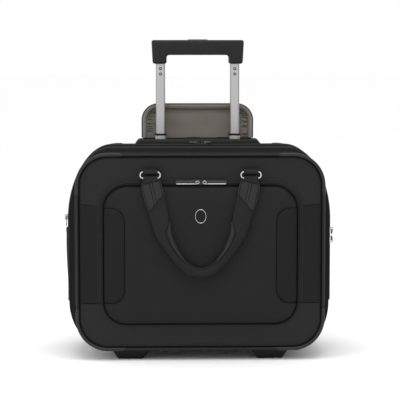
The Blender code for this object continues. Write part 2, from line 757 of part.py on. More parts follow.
def make_strap(name, face, finish, on):
    """The padded strap: flat where it leaves the rings, rolled to a thick grip at its lowest point."""
    route = strap_route(face)
    rings = []
    for i, (centre, width, thickness) in enumerate(route):
        ahead = route[min(i + 1, len(route) - 1)][0] - route[max(i - 1, 0)][0]
        along = Vector((ahead.x, 0, ahead.z)).normalized()
        across = Vector((along.z, 0, -along.x))
        ring = []
        for corner in range(10):
            angle = 2 * math.pi * (corner + 0.5) / 10
            flat_x = math.copysign(abs(math.cos(angle)) ** 0.6, math.cos(angle))
            flat_y = math.copysign(abs(math.sin(angle)) ** 0.7, math.sin(angle))
            ring.append(centre + across * (flat_x * width / 2) + Vector((0, flat_y * thickness / 2, 0)))
        rings.append(ring)
    strap = place(name, skin(rings), finish, on, 60)
    bar_z = RING_Z - RING_HALF[1]
    for side in (-1, 1):
        centre = (side * RING_X, face * RING_Y, bar_z)
        join(strap, cylinder_along_x(centre, LOOP_RADIUS, LOOP_HALF_WIDTH, 16))
    for side in (-1, 1):
        centre = (side * RING_X, face * RING_Y, bar_z)
        cut(strap, cylinder_along_x(centre, LOOP_BORE, 30 * MM, 16))


def make_carry_handle(word, face, finishes, on_wall):
    """Both anchors on the wall, and the rings and the strap that swing about the rings' upper bars."""
    swing = pivot(f"{word}_handle_axis", (0, face * RING_Y, RING_Z + RING_HALF[1]), on_wall)
    for side, label in ((-1, "left"), (1, "right")):
        x = side * RING_X
        make_anchor(f"{word}_handle_anchor_{label}", x, face, finishes["webbing"], on_wall)
        make_ring(f"{word}_handle_ring_{label}", x, face * RING_Y, finishes["gunmetal"], swing)
    make_strap(f"{word}_handle_strap", face, finishes["webbing"], swing)


def oriented(low, high, origin, along, out):
    """A box given in a zip's own directions (along, across, out), placed in the world."""
    along, out = Vector(along), Vector(out)
    across = out.cross(along)
    rings = []
    for up in (low[2], high[2]):
        ring = []
        for a, b in ((low[0], low[1]), (high[0], low[1]), (high[0], high[1]), (low[0], high[1])):
            ring.append(Vector(origin) + along * a + across * b + out * up)
        rings.append(ring)
    return skin(rings)


def make_slider(name, origin, along, out, finish, on):
    """A slider body with an arch along the zip, which has a hole for the puller's bar."""
    half = (SLIDER_LENGTH / 2, SLIDER_WIDTH / 2)
    slider = place(name, oriented((-half[0], -half[1], 0), (half[0], half[1], SLIDER_HEIGHT), origin, along, out), finish, on)
    low = (-ARCH_LENGTH / 2, -ARCH_WIDTH / 2, SLIDER_HEIGHT / 2)
    high = (ARCH_LENGTH / 2, ARCH_WIDTH / 2, ARCH_HEIGHT)
    join(slider, oriented(low, high, origin, along, out))
    floor = SLIDER_HEIGHT + 0.3 * MM
    low = (-ARCH_HOLE[0] / 2, -ARCH_WIDTH, floor)
    high = (ARCH_HOLE[0] / 2, ARCH_WIDTH, floor + ARCH_HOLE[1])
    cut(slider, oriented(low, high, origin, along, out))


def make_puller(name, origin, along, out, length, width, finish, on):
    """A flat pull tab that leads away along the zip, with an eye round the slider's arch."""
    mid = SLIDER_HEIGHT + 0.3 * MM + ARCH_HOLE[1] / 2
    low = (-PULLER_BAR / 2, -width / 2, mid - PULLER_THICKNESS / 2)
    high = (length, width / 2, mid + PULLER_THICKNESS / 2)
    puller = place(name, oriented(low, high, origin, along, out), finish, on)
    low = (PULLER_BAR / 2, -ARCH_WIDTH / 2 - 0.4 * MM, mid - 5 * MM)
    high = (PULLER_BAR / 2 + PULLER_EYE, ARCH_WIDTH / 2 + 0.4 * MM, mid + 5 * MM)
    cut(puller, oriented(low, high, origin, along, out))


def puller_axis(origin, out):
    """Where a puller turns on its slider: the middle of the arch's hole."""
    return Vector(origin) + Vector(out) * (SLIDER_HEIGHT + 0.3 * MM + ARCH_HOLE[1] / 2)


def make_zip_pair(word, labels, middle, along, out, puller_size, finishes, on):
    """Two sliders that meet at the middle of a zip; each puller leads away from the other slider."""
    spread = SLIDER_LENGTH / 2 + 0.6 * MM
    for label, sign in zip(labels, (-1, 1)):
        origin = Vector(middle) + Vector(along) * sign * spread
        away = Vector(along) * sign
        run = pivot(f"{word}_slider_{label}_run", origin, on)
        make_slider(f"{word}_slider_{label}", origin, away, out, finishes["slider"], run)
        turn = pivot(f"{word}_puller_{label}_axis", puller_axis(origin, out), run)
        make_puller(f"{word}_puller_{label}", origin, away, out, *puller_size, finishes["puller"], turn)


def make_laptop_sleeve(finish):
    """A padded sleeve inside the shell: a tray for the laptop, open at its top."""
    half_width, low, high = 128 * MM, 24 * MM, 262 * MM
    y_front, y_back = 25 * MM, 47 * MM
    sleeve = place(
        "laptop_sleeve",
        block((-half_width, y_front, low), (half_width, y_back, high)),
        finish,
    )
    pad = 2.5 * MM
    cut(
        sleeve,
        block(
            (-half_width + 4 * MM, y_front + pad, low + 6 * MM),
            (half_width - 4 * MM, y_back - pad, high + 10 * MM),
        ),
    )


def main():
    clear_scene()
    fabric = make_material("black_ballistic_fabric", (0.024, 0.024, 0.025), 0.8)
    panel_fabric = make_material("black_panel_fabric", (0.021, 0.021, 0.022), 0.82)
    cord = make_material("black_piping", (0.03, 0.03, 0.031), 0.5)
    webbing = make_material("black_webbing", (0.019, 0.019, 0.02), 0.75)
    plastic = make_material("black_moulded_plastic", (0.012, 0.012, 0.013), 0.45)
    grip_plastic = make_material("grip_satin_black", (0.045, 0.045, 0.047), 0.35)
    button_plastic = make_material("button_grey", (0.1, 0.1, 0.105), 0.4)
    aluminium = make_material("anodised_aluminium", (0.52, 0.52, 0.54), 0.3, 1.0)
    steel = make_material("zinc_plated_steel", (0.55, 0.55, 0.56), 0.35, 1.0)
    gunmetal = make_material("gunmetal", (0.16, 0.16, 0.17), 0.28, 1.0)
    silver = make_material("bright_nickel", (0.5, 0.5, 0.52), 0.28, 1.0)
    rubber = make_material("tyre_rubber", (0.016, 0.016, 0.016), 0.75)
    hub_plastic = make_material("hub_grey_plastic", (0.09, 0.09, 0.095), 0.45)
    lining = make_material("greige_lining", (0.14, 0.125, 0.112), 0.65)
    board = make_material("board_lining", (0.1, 0.092, 0.085), 0.8)

    make_main_shell(fabric)
    make_rear_piping(cord)
    cover_hinge = pivot("cover_hinge", (0, HINGE_Y, HINGE_Z))
    make_front_cover(fabric, cover_hinge)
    make_piping("front_piping", -WALL_Y - GAP, FRONT_WALL_TOP, cord, cover_hinge)
    make_pocket_panel(panel_fabric, cover_hinge)
    make_emblem(gunmetal, cover_hinge)
    make_side_pocket(panel_fabric)

    board_low = GUSSET_LOW + FABRIC_WALL + 0.5 * MM
    place("back_board", block((-131 * MM, 50 * MM, board_low), (131 * MM, 52.5 * MM, 326 * MM)), board)
    make_laptop_sleeve(lining)

    make_handle_well(plastic)
    make_tube_bracket(plastic)
    make_tubes("outer_tube", OUTER_TUBE, aluminium)
    lower_stage = pivot("lower_stage_slide", (0, TUBE_Y, LOWER_TUBE[3]))
    make_tubes("lower_tube", LOWER_TUBE, aluminium, lower_stage)
    middle_stage = pivot("middle_stage_slide", (0, TUBE_Y, MIDDLE_TUBE[3]), lower_stage)
    make_tubes("middle_tube", MIDDLE_TUBE, aluminium, middle_stage)
    make_collars(plastic, middle_stage)
    inner_stage = pivot("inner_stage_slide", (0, TUBE_Y, GRIP_LOW), middle_stage)
    make_tubes("inner_tube", INNER_TUBE, aluminium, inner_stage)
    make_grip(grip_plastic, inner_stage)
    make_spring(steel, inner_stage)
    button_slide = pivot("button_slide", (0, TUBE_Y, GRIP_TOP), inner_stage)
    make_lock(button_plastic, steel, button_slide)
    make_flap(lining, pivot("flap_hinge", FLAP_HINGE))

    wheel_finishes = {"plastic": plastic, "steel": steel, "rubber": rubber, "hub": hub_plastic}
    for side, label in ((-1, "left"), (1, "right")):
        make_wheel(side, label, wheel_finishes)
        make_foot(side, label, plastic)

    handle_finishes = {"webbing": webbing, "gunmetal": gunmetal}
    make_carry_handle("front", -1, handle_finishes, cover_hinge)
    make_carry_handle("rear", 1, handle_finishes, None)

    dark_zip = {"slider": gunmetal, "puller": gunmetal}
    silver_zip = {"slider": silver, "puller": plastic}
    sides = ("left", "right")
    long_puller = (34.5 * MM, 6.5 * MM)
    short_puller = (12.5 * MM, 6 * MM)
    stub_puller = (7 * MM, 6 * MM)
    middle = (0.8 * MM, -WALL_Y - 0.4 * MM, POCKET_ZIP_Z)
    make_zip_pair("pocket", sides, middle, (1, 0, 0), (0, -1, 0), long_puller, dark_zip, cover_hinge)
    middle = (TOP_ZIP_MIDDLE, TOP_ZIP_Y, top_surface(TOP_ZIP_Y) + 0.4 * MM)
    make_zip_pair("top", sides, middle, (1, 0, 0), (0, 0, 1), short_puller, dark_zip, None)
    middle_z = 193 * MM
    for label, sign in (("lower", -1), ("upper", 1)):
        origin = Vector((side_surface(SIDE_ZIP_Y) + 0.6 * MM, SIDE_ZIP_Y, middle_z + sign * 8.4 * MM))
        run = pivot(f"side_slider_{label}_run", origin)
        make_slider(f"side_slider_{label}", origin, (0, 0, 1), (1, 0, 0), silver, run)
        turn = pivot(f"side_puller_{label}_axis", puller_axis(origin, (1, 0, 0)), run)
        make_puller(
            f"side_puller_{label}", origin, (0, 0, -sign), (1, 0, 0), *stub_puller, silver_zip["puller"], turn
        )
    origin = Vector((-side_surface(0) - 0.5 * MM, 0, SIDE_POCKET_ZIP_Z))
    run = pivot("side_pocket_slider_run", origin)
    make_slider("side_pocket_slider", origin, (0, 0, 1), (-1, 0, 0), silver, run)
    turn = pivot("side_pocket_puller_axis", puller_axis(origin, (-1, 0, 0)), run)
    make_puller("side_pocket_puller", origin, (0, 0, -1), (-1, 0, 0), 15.5 * MM, 5.6 * MM, silver, turn)


main()
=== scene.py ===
# %% [markdown]
# # A rolling laptop case
# The case stands on two wheels behind and two feet in front, with its pull handle half drawn out. The packed
# model is a fixed frame: its hard parts keep their places and get better surfaces, and its plain soft solids
# give way to sewn pieces that follow the same curves. Everything is in metres.

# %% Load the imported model
import contextlib
import math

import bmesh
import bpy
import numpy as np
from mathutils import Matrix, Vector
from mathutils.bvhtree import BVHTree


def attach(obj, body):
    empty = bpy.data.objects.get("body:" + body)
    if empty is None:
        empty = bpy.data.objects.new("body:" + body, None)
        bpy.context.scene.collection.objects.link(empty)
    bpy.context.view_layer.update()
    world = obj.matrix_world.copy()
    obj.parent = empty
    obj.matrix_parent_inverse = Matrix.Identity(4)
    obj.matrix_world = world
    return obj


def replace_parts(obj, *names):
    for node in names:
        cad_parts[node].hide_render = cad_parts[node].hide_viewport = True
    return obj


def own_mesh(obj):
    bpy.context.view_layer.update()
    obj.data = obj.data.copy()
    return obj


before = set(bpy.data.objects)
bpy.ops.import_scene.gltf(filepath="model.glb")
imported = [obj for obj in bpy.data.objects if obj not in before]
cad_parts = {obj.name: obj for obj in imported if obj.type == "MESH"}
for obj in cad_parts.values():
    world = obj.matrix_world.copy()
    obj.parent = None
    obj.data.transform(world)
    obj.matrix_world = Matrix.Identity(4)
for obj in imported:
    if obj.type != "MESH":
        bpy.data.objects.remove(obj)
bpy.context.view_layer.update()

mm = 0.001
scene = bpy.context.scene

# %% Measures that several pieces share
wall_half, wall_low = 192.2 * mm, 20.8 * mm  # the flat walls
FRONT_TOP, REAR_TOP = 324.7 * mm, 330.5 * mm
front_corner, rear_corner = 46 * mm, 60 * mm
cord_y = 96.3 * mm  # the cords' depth, and the flat of the walls beside them
side_y = 92.8 * mm  # the depth where the swollen side begins
split_y, top_zip_y = -30 * mm, 30 * mm  # the zip that opens the case, and the one behind it
pocket_half, pocket_low, pocket_top = 153 * mm, 58.5 * mm, 278.7 * mm
facing_middle, facing_half, facing_corner = 159.9 * mm, 40.1 * mm, 21 * mm  # the darker panel on the pocket's side
facing_low, facing_top = 92.7 * mm, 243.4 * mm
tube_x, tube_y = 61.7 * mm, 72 * mm  # the middle of each handle tube
flap_half, flap_top, flap_corner, flap_low = 92.3 * mm, 401.6 * mm, 27 * mm, 345.0 * mm
flap_y, flap_bowl = 88.6 * mm, 8.0 * mm  # the depth of the lining, and how far its edge comes forward
ring_x, ring_y = 79.2 * mm, 106.5  # ring_y is in millimetres, as the webbing paths are


def add_object(name, data):
    """A new object in the scene."""
    obj = bpy.data.objects.new(name, data)
    scene.collection.objects.link(obj)
    return obj


print("the walls are", round(2 * wall_half / mm, 1), "mm wide")

# %% [markdown]
# ## Camera, light and floor
# A product shot is taken from far away with a long lens, so upright edges stay upright. The light is a pale
# room on every side, with one large soft lamp above that lifts the tops, which is how black cloth shows its
# form: by what it mirrors softly and not by its own colour.

# %% Camera
camera_distance, camera_up, camera_left = 2.8, math.radians(5), math.radians(1.65)
camera_target = Vector((0.002, 0, 0.2474))
towards_camera = Vector(
    (-math.sin(camera_left) * math.cos(camera_up), -math.cos(camera_left) * math.cos(camera_up), math.sin(camera_up))
)
camera_data = bpy.data.cameras.new("camera")
camera_data.lens, camera_data.sensor_width = 154.33, 36
camera = add_object("camera", camera_data)
camera.location = camera_target + towards_camera * camera_distance
camera.rotation_euler = towards_camera.to_track_quat("Z", "Y").to_euler()
scene.camera = camera
print("camera at", [round(v, 3) for v in camera.location])

# %% Light
def soft_lamp(name, place, aim, size, watts):
    """A square lamp at a place, turned towards a point."""
    data = bpy.data.lights.new(name, "AREA")
    data.shape, data.size, data.energy = "SQUARE", size, watts
    lamp = add_object(name, data)
    lamp.location = place
    lamp.rotation_euler = (Vector(place) - Vector(aim)).to_track_quat("Z", "Y").to_euler()


room = bpy.data.worlds.new("pale_room")
scene.world = room
room.use_nodes = True
room.node_tree.nodes["Background"].inputs["Color"].default_value = (1, 1, 1, 1)
room.node_tree.nodes["Background"].inputs["Strength"].default_value = 1.0
soft_lamp("lamp_above", (0, -0.7, 2.0), (0, -0.05, 0.3), 1.4, 16)
soft_lamp("lamp_left", (-1.9, -1.2, 1.0), (0, 0, 0.3), 0.9, 7)
scene.view_settings.view_transform = "Standard"

# %% [markdown]
# ## Surfaces from arrays
# Almost every sewn piece is a grid of points: rows go along it and columns go round or across it. One helper
# turns such a grid, and a second grid just under it, into a closed skin with a real thickness. Points that
# meet are merged, so a pole is one point, and the normals are worked out again on the closed mesh.

# %% Grid helpers
@contextlib.contextmanager
def editing(mesh):
    """Opens a mesh for edits, then turns its faces outwards and writes it back."""
    shape = bmesh.new()
    shape.from_mesh(mesh)
    yield shape
    bmesh.ops.recalc_face_normals(shape, faces=shape.faces)
    shape.to_mesh(mesh)
    shape.free()


def shade(mesh, sharp=None):
    """Smooth shading, broken at edges that turn by more than sharp degrees."""
    mesh.polygons.foreach_set("use_smooth", np.ones(len(mesh.polygons), bool))
    if sharp is not None:
        mesh.set_sharp_from_angle(angle=math.radians(sharp))


def heading(path, closed=False):
    """Unit directions along a path."""
    run = np.roll(path, -1, 0) - np.roll(path, 1, 0) if closed else np.gradient(path, axis=0)
    return run / np.linalg.norm(run, axis=1, keepdims=True)


def way_gone(path):
    """The length walked at each point of a path."""
    return np.concatenate([[0], np.cumsum(np.linalg.norm(np.diff(path, axis=0), axis=1))])


def points_at(at, s, path):
    """Points at lengths at along a path whose own points lie at lengths s."""
    return np.stack([np.interp(at, s, path[:, k]) for k in range(3)], -1)


def wire(path, out, radius, steps, deep=(0, 1.0, 0)):
    """Circles round a path: cosine times the outward direction plus sine times the depth direction."""
    angle = np.linspace(0, 2 * np.pi, steps, endpoint=False)[None, :, None]
    return path[:, None] + radius * (out[:, None] * np.cos(angle) + np.array(deep) * np.sin(angle))


def quads(rows, columns, first=0, close_rows=False, close_columns=False):
    """Corner indices of the quads of a grid stored row by row, optionally joined up at its ends."""
    r = np.arange(rows if close_rows else rows - 1)[:, None]
    c = np.arange(columns if close_columns else columns - 1)[None, :]
    r2, c2 = (r + 1) % rows, (c + 1) % columns
    corners = (r * columns + c, r * columns + c2, r2 * columns + c2, r2 * columns + c)
    return np.stack(np.broadcast_arrays(*corners), -1).reshape(-1, 4) + first


def new_mesh(name, points, faces, uv=None, sharp=50):
    """An object from points (n, 3) and quads, with merged doubles, outward normals and a cloth map in metres."""
    mesh = bpy.data.meshes.new(name)
    mesh.vertices.add(len(points))
    mesh.vertices.foreach_set("co", np.ascontiguousarray(points, np.float32).ravel())
    mesh.loops.add(faces.size)
    mesh.loops.foreach_set("vertex_index", faces.ravel().astype(np.int32))
    mesh.polygons.add(len(faces))
    mesh.polygons.foreach_set("loop_start", np.arange(0, faces.size, 4, dtype=np.int32))
    mesh.update(calc_edges=True)
    if uv is not None:
        layer = mesh.uv_layers.new(name="cloth")
        layer.data.foreach_set("uv", uv[faces.ravel()].astype(np.float32).ravel())
    with editing(mesh) as shape:
        bmesh.ops.remove_doubles(shape, verts=shape.verts, dist=2e-6)
        bmesh.ops.dissolve_degenerate(shape, edges=shape.edges, dist=1e-7)
    shade(mesh, sharp)
    return add_object(name, mesh)


def lengths(grid):
    """Arc length along the columns and along the rows of a grid, as two arrays the grid's size, for a cloth map."""
    across = np.linalg.norm(np.diff(grid, axis=1), axis=2)
    along = np.linalg.norm(np.diff(grid, axis=0), axis=2)
    u = np.concatenate([np.zeros((len(grid), 1)), np.cumsum(across, 1)], 1)
    v = np.concatenate([np.zeros((1, grid.shape[1])), np.cumsum(along, 0)], 0)
    return np.stack([u, v], -1)


def skin(name, outer, inner, round_closed=False, uv=None, sharp=50):
    """A closed skin between two grids of the same size; open edges are closed by a rim."""
    rows, columns = outer.shape[:2]
    count = rows * columns
    front = quads(rows, columns, 0, False, round_closed)
    faces = [front, front[:, ::-1] + count]
    ids = np.arange(count).reshape(rows, columns)
    edges = [ids[0], ids[-1][::-1]]
    if not round_closed:
        edges += [ids[::-1, 0], ids[:, -1]]
    for edge in edges:
        if round_closed:
            edge = np.append(edge, edge[0])
        a, b = edge[:-1], edge[1:]
        faces.append(np.stack([b, a, a + count, b + count], -1))
    if uv is None:
        uv = lengths(outer)
    points = np.concatenate([outer.reshape(-1, 3), inner.reshape(-1, 3)])
    return new_mesh(name, points, np.concatenate(faces), np.concatenate([uv.reshape(-1, 2)] * 2), sharp)


def tube(name, grid, close_ends=True, close_rows=False, sharp=50):
    """A closed body from rings of points: row by row along it, columns round it, ends drawn in to a point."""
    if close_ends and not close_rows:
        ends = [np.repeat(grid[i].mean(0)[None, None], grid.shape[1], 1) for i in (0, -1)]
        grid = np.concatenate([ends[0], grid, ends[1]])
    rows, columns = grid.shape[:2]
    uv = lengths(grid).reshape(-1, 2)
    return new_mesh(name, grid.reshape(-1, 3), quads(rows, columns, 0, close_rows, True), uv, sharp)


def ease(t):
    """A smooth step from 0 to 1."""
    t = np.clip(t, 0, 1)
    return t * t * (3 - 2 * t)


def unevenness(a, b, seed, wave=0.07):
    """A slow wander between about -1 and 1 from six sine waves in random directions."""
    rng = np.random.default_rng(seed)
    total = np.zeros(np.broadcast(a, b).shape)
    for _ in range(6):
        turn, phase, size = rng.uniform(0, 2 * np.pi), rng.uniform(0, 2 * np.pi), rng.uniform(0.7, 1.6)
        total += np.sin(2 * np.pi * (a * np.cos(turn) + b * np.sin(turn)) / (wave * size) + phase)
    return total / 3.5


def settle(obj, body, material, replaces=()):
    """Gives a finished piece its material, the body it rides on and the CAD nodes that it stands for."""
    obj.data.materials.clear()
    obj.data.materials.append(material)
    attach(obj, body)
    if replaces:
        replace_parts(obj, *replaces)
    return obj

# %% [markdown]
# ## Shared effects
# Weave, moulded grain, brushing and dust turn up in several finishes, so each is a node group that puts out
# heights and masks. The Principled shader stays in each material, with its plain numbers on its own sockets.

# %% Node group helpers
def make_group(name, inputs, outputs):
    """An empty shader group with sockets; inputs are (name, kind, default) and outputs are names."""
    group = bpy.data.node_groups.new(name, "ShaderNodeTree")
    for label, kind, default in inputs:
        made_socket = group.interface.new_socket(label, in_out="INPUT", socket_type=kind)
        if default is not None:
            made_socket.default_value = default
    for label in outputs:
        group.interface.new_socket(label, in_out="OUTPUT", socket_type="NodeSocketFloat")
    return group, group.nodes.new("NodeGroupInput"), group.nodes.new("NodeGroupOutput")


def plug(tree, value, socket):
    """Links a socket, or sets a plain value."""
    if isinstance(value, bpy.types.NodeSocket):
        tree.links.new(value, socket)
    else:
        socket.default_value = value


def calc(tree, operation, a, b=0.0, c=0.0):
    """A Math node's result."""
    node = tree.nodes.new("ShaderNodeMath")
    node.operation = operation
    for value, socket in zip((a, b, c), node.inputs):
        plug(tree, value, socket)
    return node.outputs[0]


def noise(tree, vector, scale, detail=2.0, stretch=None):
    """A Noise Texture's value, optionally on stretched coordinates."""
    if stretch:
        bend = tree.nodes.new("ShaderNodeVectorMath")
        bend.operation = "MULTIPLY"
        plug(tree, vector, bend.inputs[0])
        bend.inputs[1].default_value = stretch
        vector = bend.outputs[0]
    node = tree.nodes.new("ShaderNodeTexNoise")
    plug(tree, vector, node.inputs["Vector"])
    plug(tree, scale, node.inputs["Scale"])
    node.inputs["Detail"].default_value = detail
    return node.outputs[0]


# %% The four effects
VECTOR, FLOAT = "NodeSocketVector", "NodeSocketFloat"


def weave_group():
    """Plain weave: in each square cell of a checkerboard either the warp or the weft lies on top, as a half sine.
    Shade is painted shade, darker where a thread dips, mixed with random thread tone.
    """
    group, start, end = make_group("weave", [("Vector", VECTOR, None), ("Pitch", FLOAT, 0.001)], ["Height", "Shade"])
    scaled = group.nodes.new("ShaderNodeVectorMath")
    scaled.operation = "SCALE"
    group.links.new(start.outputs["Vector"], scaled.inputs[0])
    group.links.new(calc(group, "DIVIDE", 1.0, start.outputs["Pitch"]), scaled.inputs["Scale"])
    parts = group.nodes.new("ShaderNodeSeparateXYZ")
    group.links.new(scaled.outputs[0], parts.inputs[0])
    threads = []
    for axis in ("X", "Y"):
        wave = calc(group, "SINE", calc(group, "MULTIPLY", parts.outputs[axis], math.pi))
        threads.append(calc(group, "ABSOLUTE", wave))
    flat = group.nodes.new("ShaderNodeCombineXYZ")
    group.links.new(parts.outputs["X"], flat.inputs["X"])
    group.links.new(parts.outputs["Y"], flat.inputs["Y"])
    flat.inputs["Z"].default_value = 0.5
    cells = group.nodes.new("ShaderNodeTexChecker")
    cells.inputs["Scale"].default_value = 1.0
    group.links.new(flat.outputs[0], cells.inputs["Vector"])
    height = group.nodes.new("ShaderNodeMix")
    group.links.new(cells.outputs["Fac"], height.inputs[0])
    group.links.new(threads[0], height.inputs[2])
    group.links.new(threads[1], height.inputs[3])
    uneven = noise(group, start.outputs["Vector"], 900.0, 1.0)
    group.links.new(calc(group, "MULTIPLY_ADD", uneven, 0.5, height.outputs[0]), end.inputs["Height"])
    group.links.new(calc(group, "MULTIPLY", calc(group, "ADD", height.outputs[0], uneven), 0.5), end.inputs["Shade"])
    return group


def grain_group():
    """Moulded grain: fine pebbles with a slower wander under them."""
    group, start, end = make_group("grain", [("Vector", VECTOR, None), ("Scale", FLOAT, 1400.0)], ["Height", "Mask"])
    fine = noise(group, start.outputs["Vector"], start.outputs["Scale"], 3.0)
    slow = noise(group, start.outputs["Vector"], calc(group, "MULTIPLY", start.outputs["Scale"], 0.03), 2.0)
    group.links.new(fine, end.inputs["Height"])
    group.links.new(slow, end.inputs["Mask"])
    return group


def brushed_group():
    """Brushing: noise drawn out a hundredfold along Z, in two widths."""
    group, start, end = make_group("brushed", [("Vector", VECTOR, None)], ["Height", "Mask"])
    fine = noise(group, start.outputs["Vector"], 60.0, 3.0, (60, 60, 0.5))
    broad = noise(group, start.outputs["Vector"], 25.0, 2.0, (20, 20, 0.6))
    group.links.new(fine, end.inputs["Height"])
    group.links.new(calc(group, "MULTIPLY", calc(group, "ADD", fine, broad), 0.5), end.inputs["Mask"])
    return group


def dust_group():
    """Dust: lies on faces that look up and gathers near the floor, broken up by noise."""
    inputs = [("Vector", VECTOR, None), ("Normal", VECTOR, None), ("Amount", FLOAT, 0.1)]
    group, start, end = make_group("dust", inputs, ["Mask"])
    facing = group.nodes.new("ShaderNodeSeparateXYZ")
    group.links.new(start.outputs["Normal"], facing.inputs[0])
    place = group.nodes.new("ShaderNodeSeparateXYZ")
    group.links.new(start.outputs["Vector"], place.inputs[0])
    up = calc(group, "MULTIPLY", calc(group, "MAXIMUM", facing.outputs["Z"], 0.0), 0.7)
    low = calc(group, "SUBTRACT", 1.0, calc(group, "MULTIPLY", place.outputs["Z"], 9.0))
    near_floor = calc(group, "MULTIPLY", calc(group, "MAXIMUM", low, 0.0), 0.6)
    spots = noise(group, start.outputs["Vector"], 120.0, 5.0)
    spread = calc(group, "MULTIPLY", calc(group, "ADD", up, near_floor), spots)
    group.links.new(calc(group, "MULTIPLY", spread, start.outputs["Amount"]), end.inputs["Mask"])
    return group


WEAVE, GRAIN, BRUSHED, DUST = weave_group(), grain_group(), brushed_group(), dust_group()
print("groups", [g.name for g in bpy.data.node_groups])

# %% [markdown]
# ## Finishes
# Each finish is a small function of its own colour, pitch and gloss. Cloth reads the piece's own map in metres,
# so the weave follows the surface round a corner; hard parts read Object coordinates.

# %% Finish helpers
def use_group(tree, group, **values):
    """Places a group in a material with its own values."""
    node = tree.nodes.new("ShaderNodeGroup")
    node.node_tree = group
    for label, value in values.items():
        plug(tree, value, node.inputs[label])
    return node


def blend_colours(tree, factor, a, b):
    """Mixes two colours by a factor socket."""
    node = tree.nodes.new("ShaderNodeMix")
    node.data_type = "RGBA"
    plug(tree, factor, node.inputs[0])
    plug(tree, a, node.inputs[6])
    plug(tree, b, node.inputs[7])
    return node.outputs[2]


def grey(value, warm=0.0):
    return (value * (1 + warm), value, value * (1 - warm), 1)


def start_material(name):
    material = bpy.data.materials.new(name)
    material.use_nodes = True
    tree = material.node_tree
    return material, tree, tree.nodes["Principled BSDF"], tree.nodes.new("ShaderNodeTexCoord")


def add_relief(tree, shader, height, depth):
    """Feeds a height to Normal through Bump; depth is the height's real size in metres."""
    bump = tree.nodes.new("ShaderNodeBump")
    bump.inputs["Strength"].default_value = 1.0
    bump.inputs["Distance"].default_value = depth
    tree.links.new(height, bump.inputs["Height"])
    tree.links.new(bump.outputs[0], shader.inputs["Normal"])


def dusted(tree, coords, colour, amount, dust):
    """The colour with a share of dust over it."""
    specks = use_group(tree, DUST, Vector=coords.outputs["Object"], Normal=coords.outputs["Normal"], Amount=amount)
    return blend_colours(tree, specks.outputs["Mask"], colour, dust)


def cloth(name, dark, light, pitch, rough=0.8, sheen=0.0, warm=0.0, relief=0.00012, level=0.06, mapped=True):
    """Woven cloth: colour with painted shade where the weave dips and random thread tone, slow mottling, a little
    dust, and the weave's relief.
    """
    material, tree, shader, coords = start_material(name)
    place = coords.outputs["UV"] if mapped else coords.outputs["Object"]
    threads = use_group(tree, WEAVE, Vector=place, Pitch=pitch)
    # Painted shade in the weave's dips, mixed with random thread tone
    colour = blend_colours(tree, threads.outputs["Shade"], grey(dark, warm), grey(light, warm))
    slow = noise(tree, coords.outputs["Object"], 14.0, 3.0)
    colour = blend_colours(tree, calc(tree, "MULTIPLY", slow, 0.5), colour, grey((dark + light) / 2.6, warm))
    plug(tree, dusted(tree, coords, colour, 0.03, grey(0.2, 0.06)), shader.inputs["Base Color"])
    gloss = calc(tree, "MULTIPLY_ADD", threads.outputs["Shade"], -0.12, rough + 0.06)
    plug(tree, gloss, shader.inputs["Roughness"])
    shader.inputs["Sheen Weight"].default_value = sheen
    shader.inputs["Sheen Roughness"].default_value = 0.45
    shader.inputs["Specular IOR Level"].default_value = level
    add_relief(tree, shader, threads.outputs["Height"], relief)
    return material


def moulded(name, value, rough, scale=1400.0, relief=0.00004, dust=0.04, level=0.15):
    """Moulded plastic or rubber: fine grain, slightly uneven gloss, and dust where it settles."""
    material, tree, shader, coords = start_material(name)
    pebbles = use_group(tree, GRAIN, Vector=coords.outputs["Object"], Scale=scale)
    colour = blend_colours(tree, pebbles.outputs["Mask"], grey(value * 0.85), grey(value * 1.2))
    plug(tree, dusted(tree, coords, colour, dust, grey(0.25, 0.05)), shader.inputs["Base Color"])
    gloss = calc(tree, "MULTIPLY_ADD", pebbles.outputs["Mask"], 0.16, rough - 0.08)
    plug(tree, gloss, shader.inputs["Roughness"])
    shader.inputs["Specular IOR Level"].default_value = level
    add_relief(tree, shader, pebbles.outputs["Height"], relief)
    return material


def metal(name, value, rough, brushed=True, groove_shade=False):
    """Metal: brushed along Z or tumbled, with scuffs that change its gloss. Painted shade can darken two
    lines on each handle tube, where the extrusion has its grooves."""
    material, tree, shader, coords = start_material(name)
    if brushed:
        lines = use_group(tree, BRUSHED, Vector=coords.outputs["Object"])
    else:
        lines = use_group(tree, GRAIN, Vector=coords.outputs["Object"], Scale=700.0)
    colour = blend_colours(tree, lines.outputs["Mask"], grey(value * 0.9), grey(min(value * 1.1, 0.95)))
    # Painted shade: two dark lines on each tube, along its grooves
    if groove_shade:
        place = tree.nodes.new("ShaderNodeSeparateXYZ")
        tree.links.new(coords.outputs["Object"], place.inputs[0])
        off_tube = calc(tree, "SUBTRACT", calc(tree, "ABSOLUTE", place.outputs["X"]), tube_x)
        off_line = calc(tree, "ABSOLUTE", calc(tree, "SUBTRACT", calc(tree, "ABSOLUTE", off_tube), 6.3 * mm))
        line = calc(tree, "MAXIMUM", calc(tree, "SUBTRACT", 1.0, calc(tree, "DIVIDE", off_line, 1.2 * mm)), 0.0)
        colour = blend_colours(tree, calc(tree, "MULTIPLY", line, 0.75), colour, grey(value * 0.3))
    tree.links.new(colour, shader.inputs["Base Color"])
    scuffs = noise(tree, coords.outputs["Object"], 160.0, 4.0)
    worn = calc(tree, "MULTIPLY", scuffs, 0.12)
    uneven = calc(tree, "ADD", calc(tree, "MULTIPLY", lines.outputs["Mask"], 0.14), worn)
    tree.links.new(calc(tree, "ADD", uneven, rough - 0.13), shader.inputs["Roughness"])
    shader.inputs["Metallic"].default_value = 1.0
    add_relief(tree, shader, lines.outputs["Height"], 0.00001)
    return material


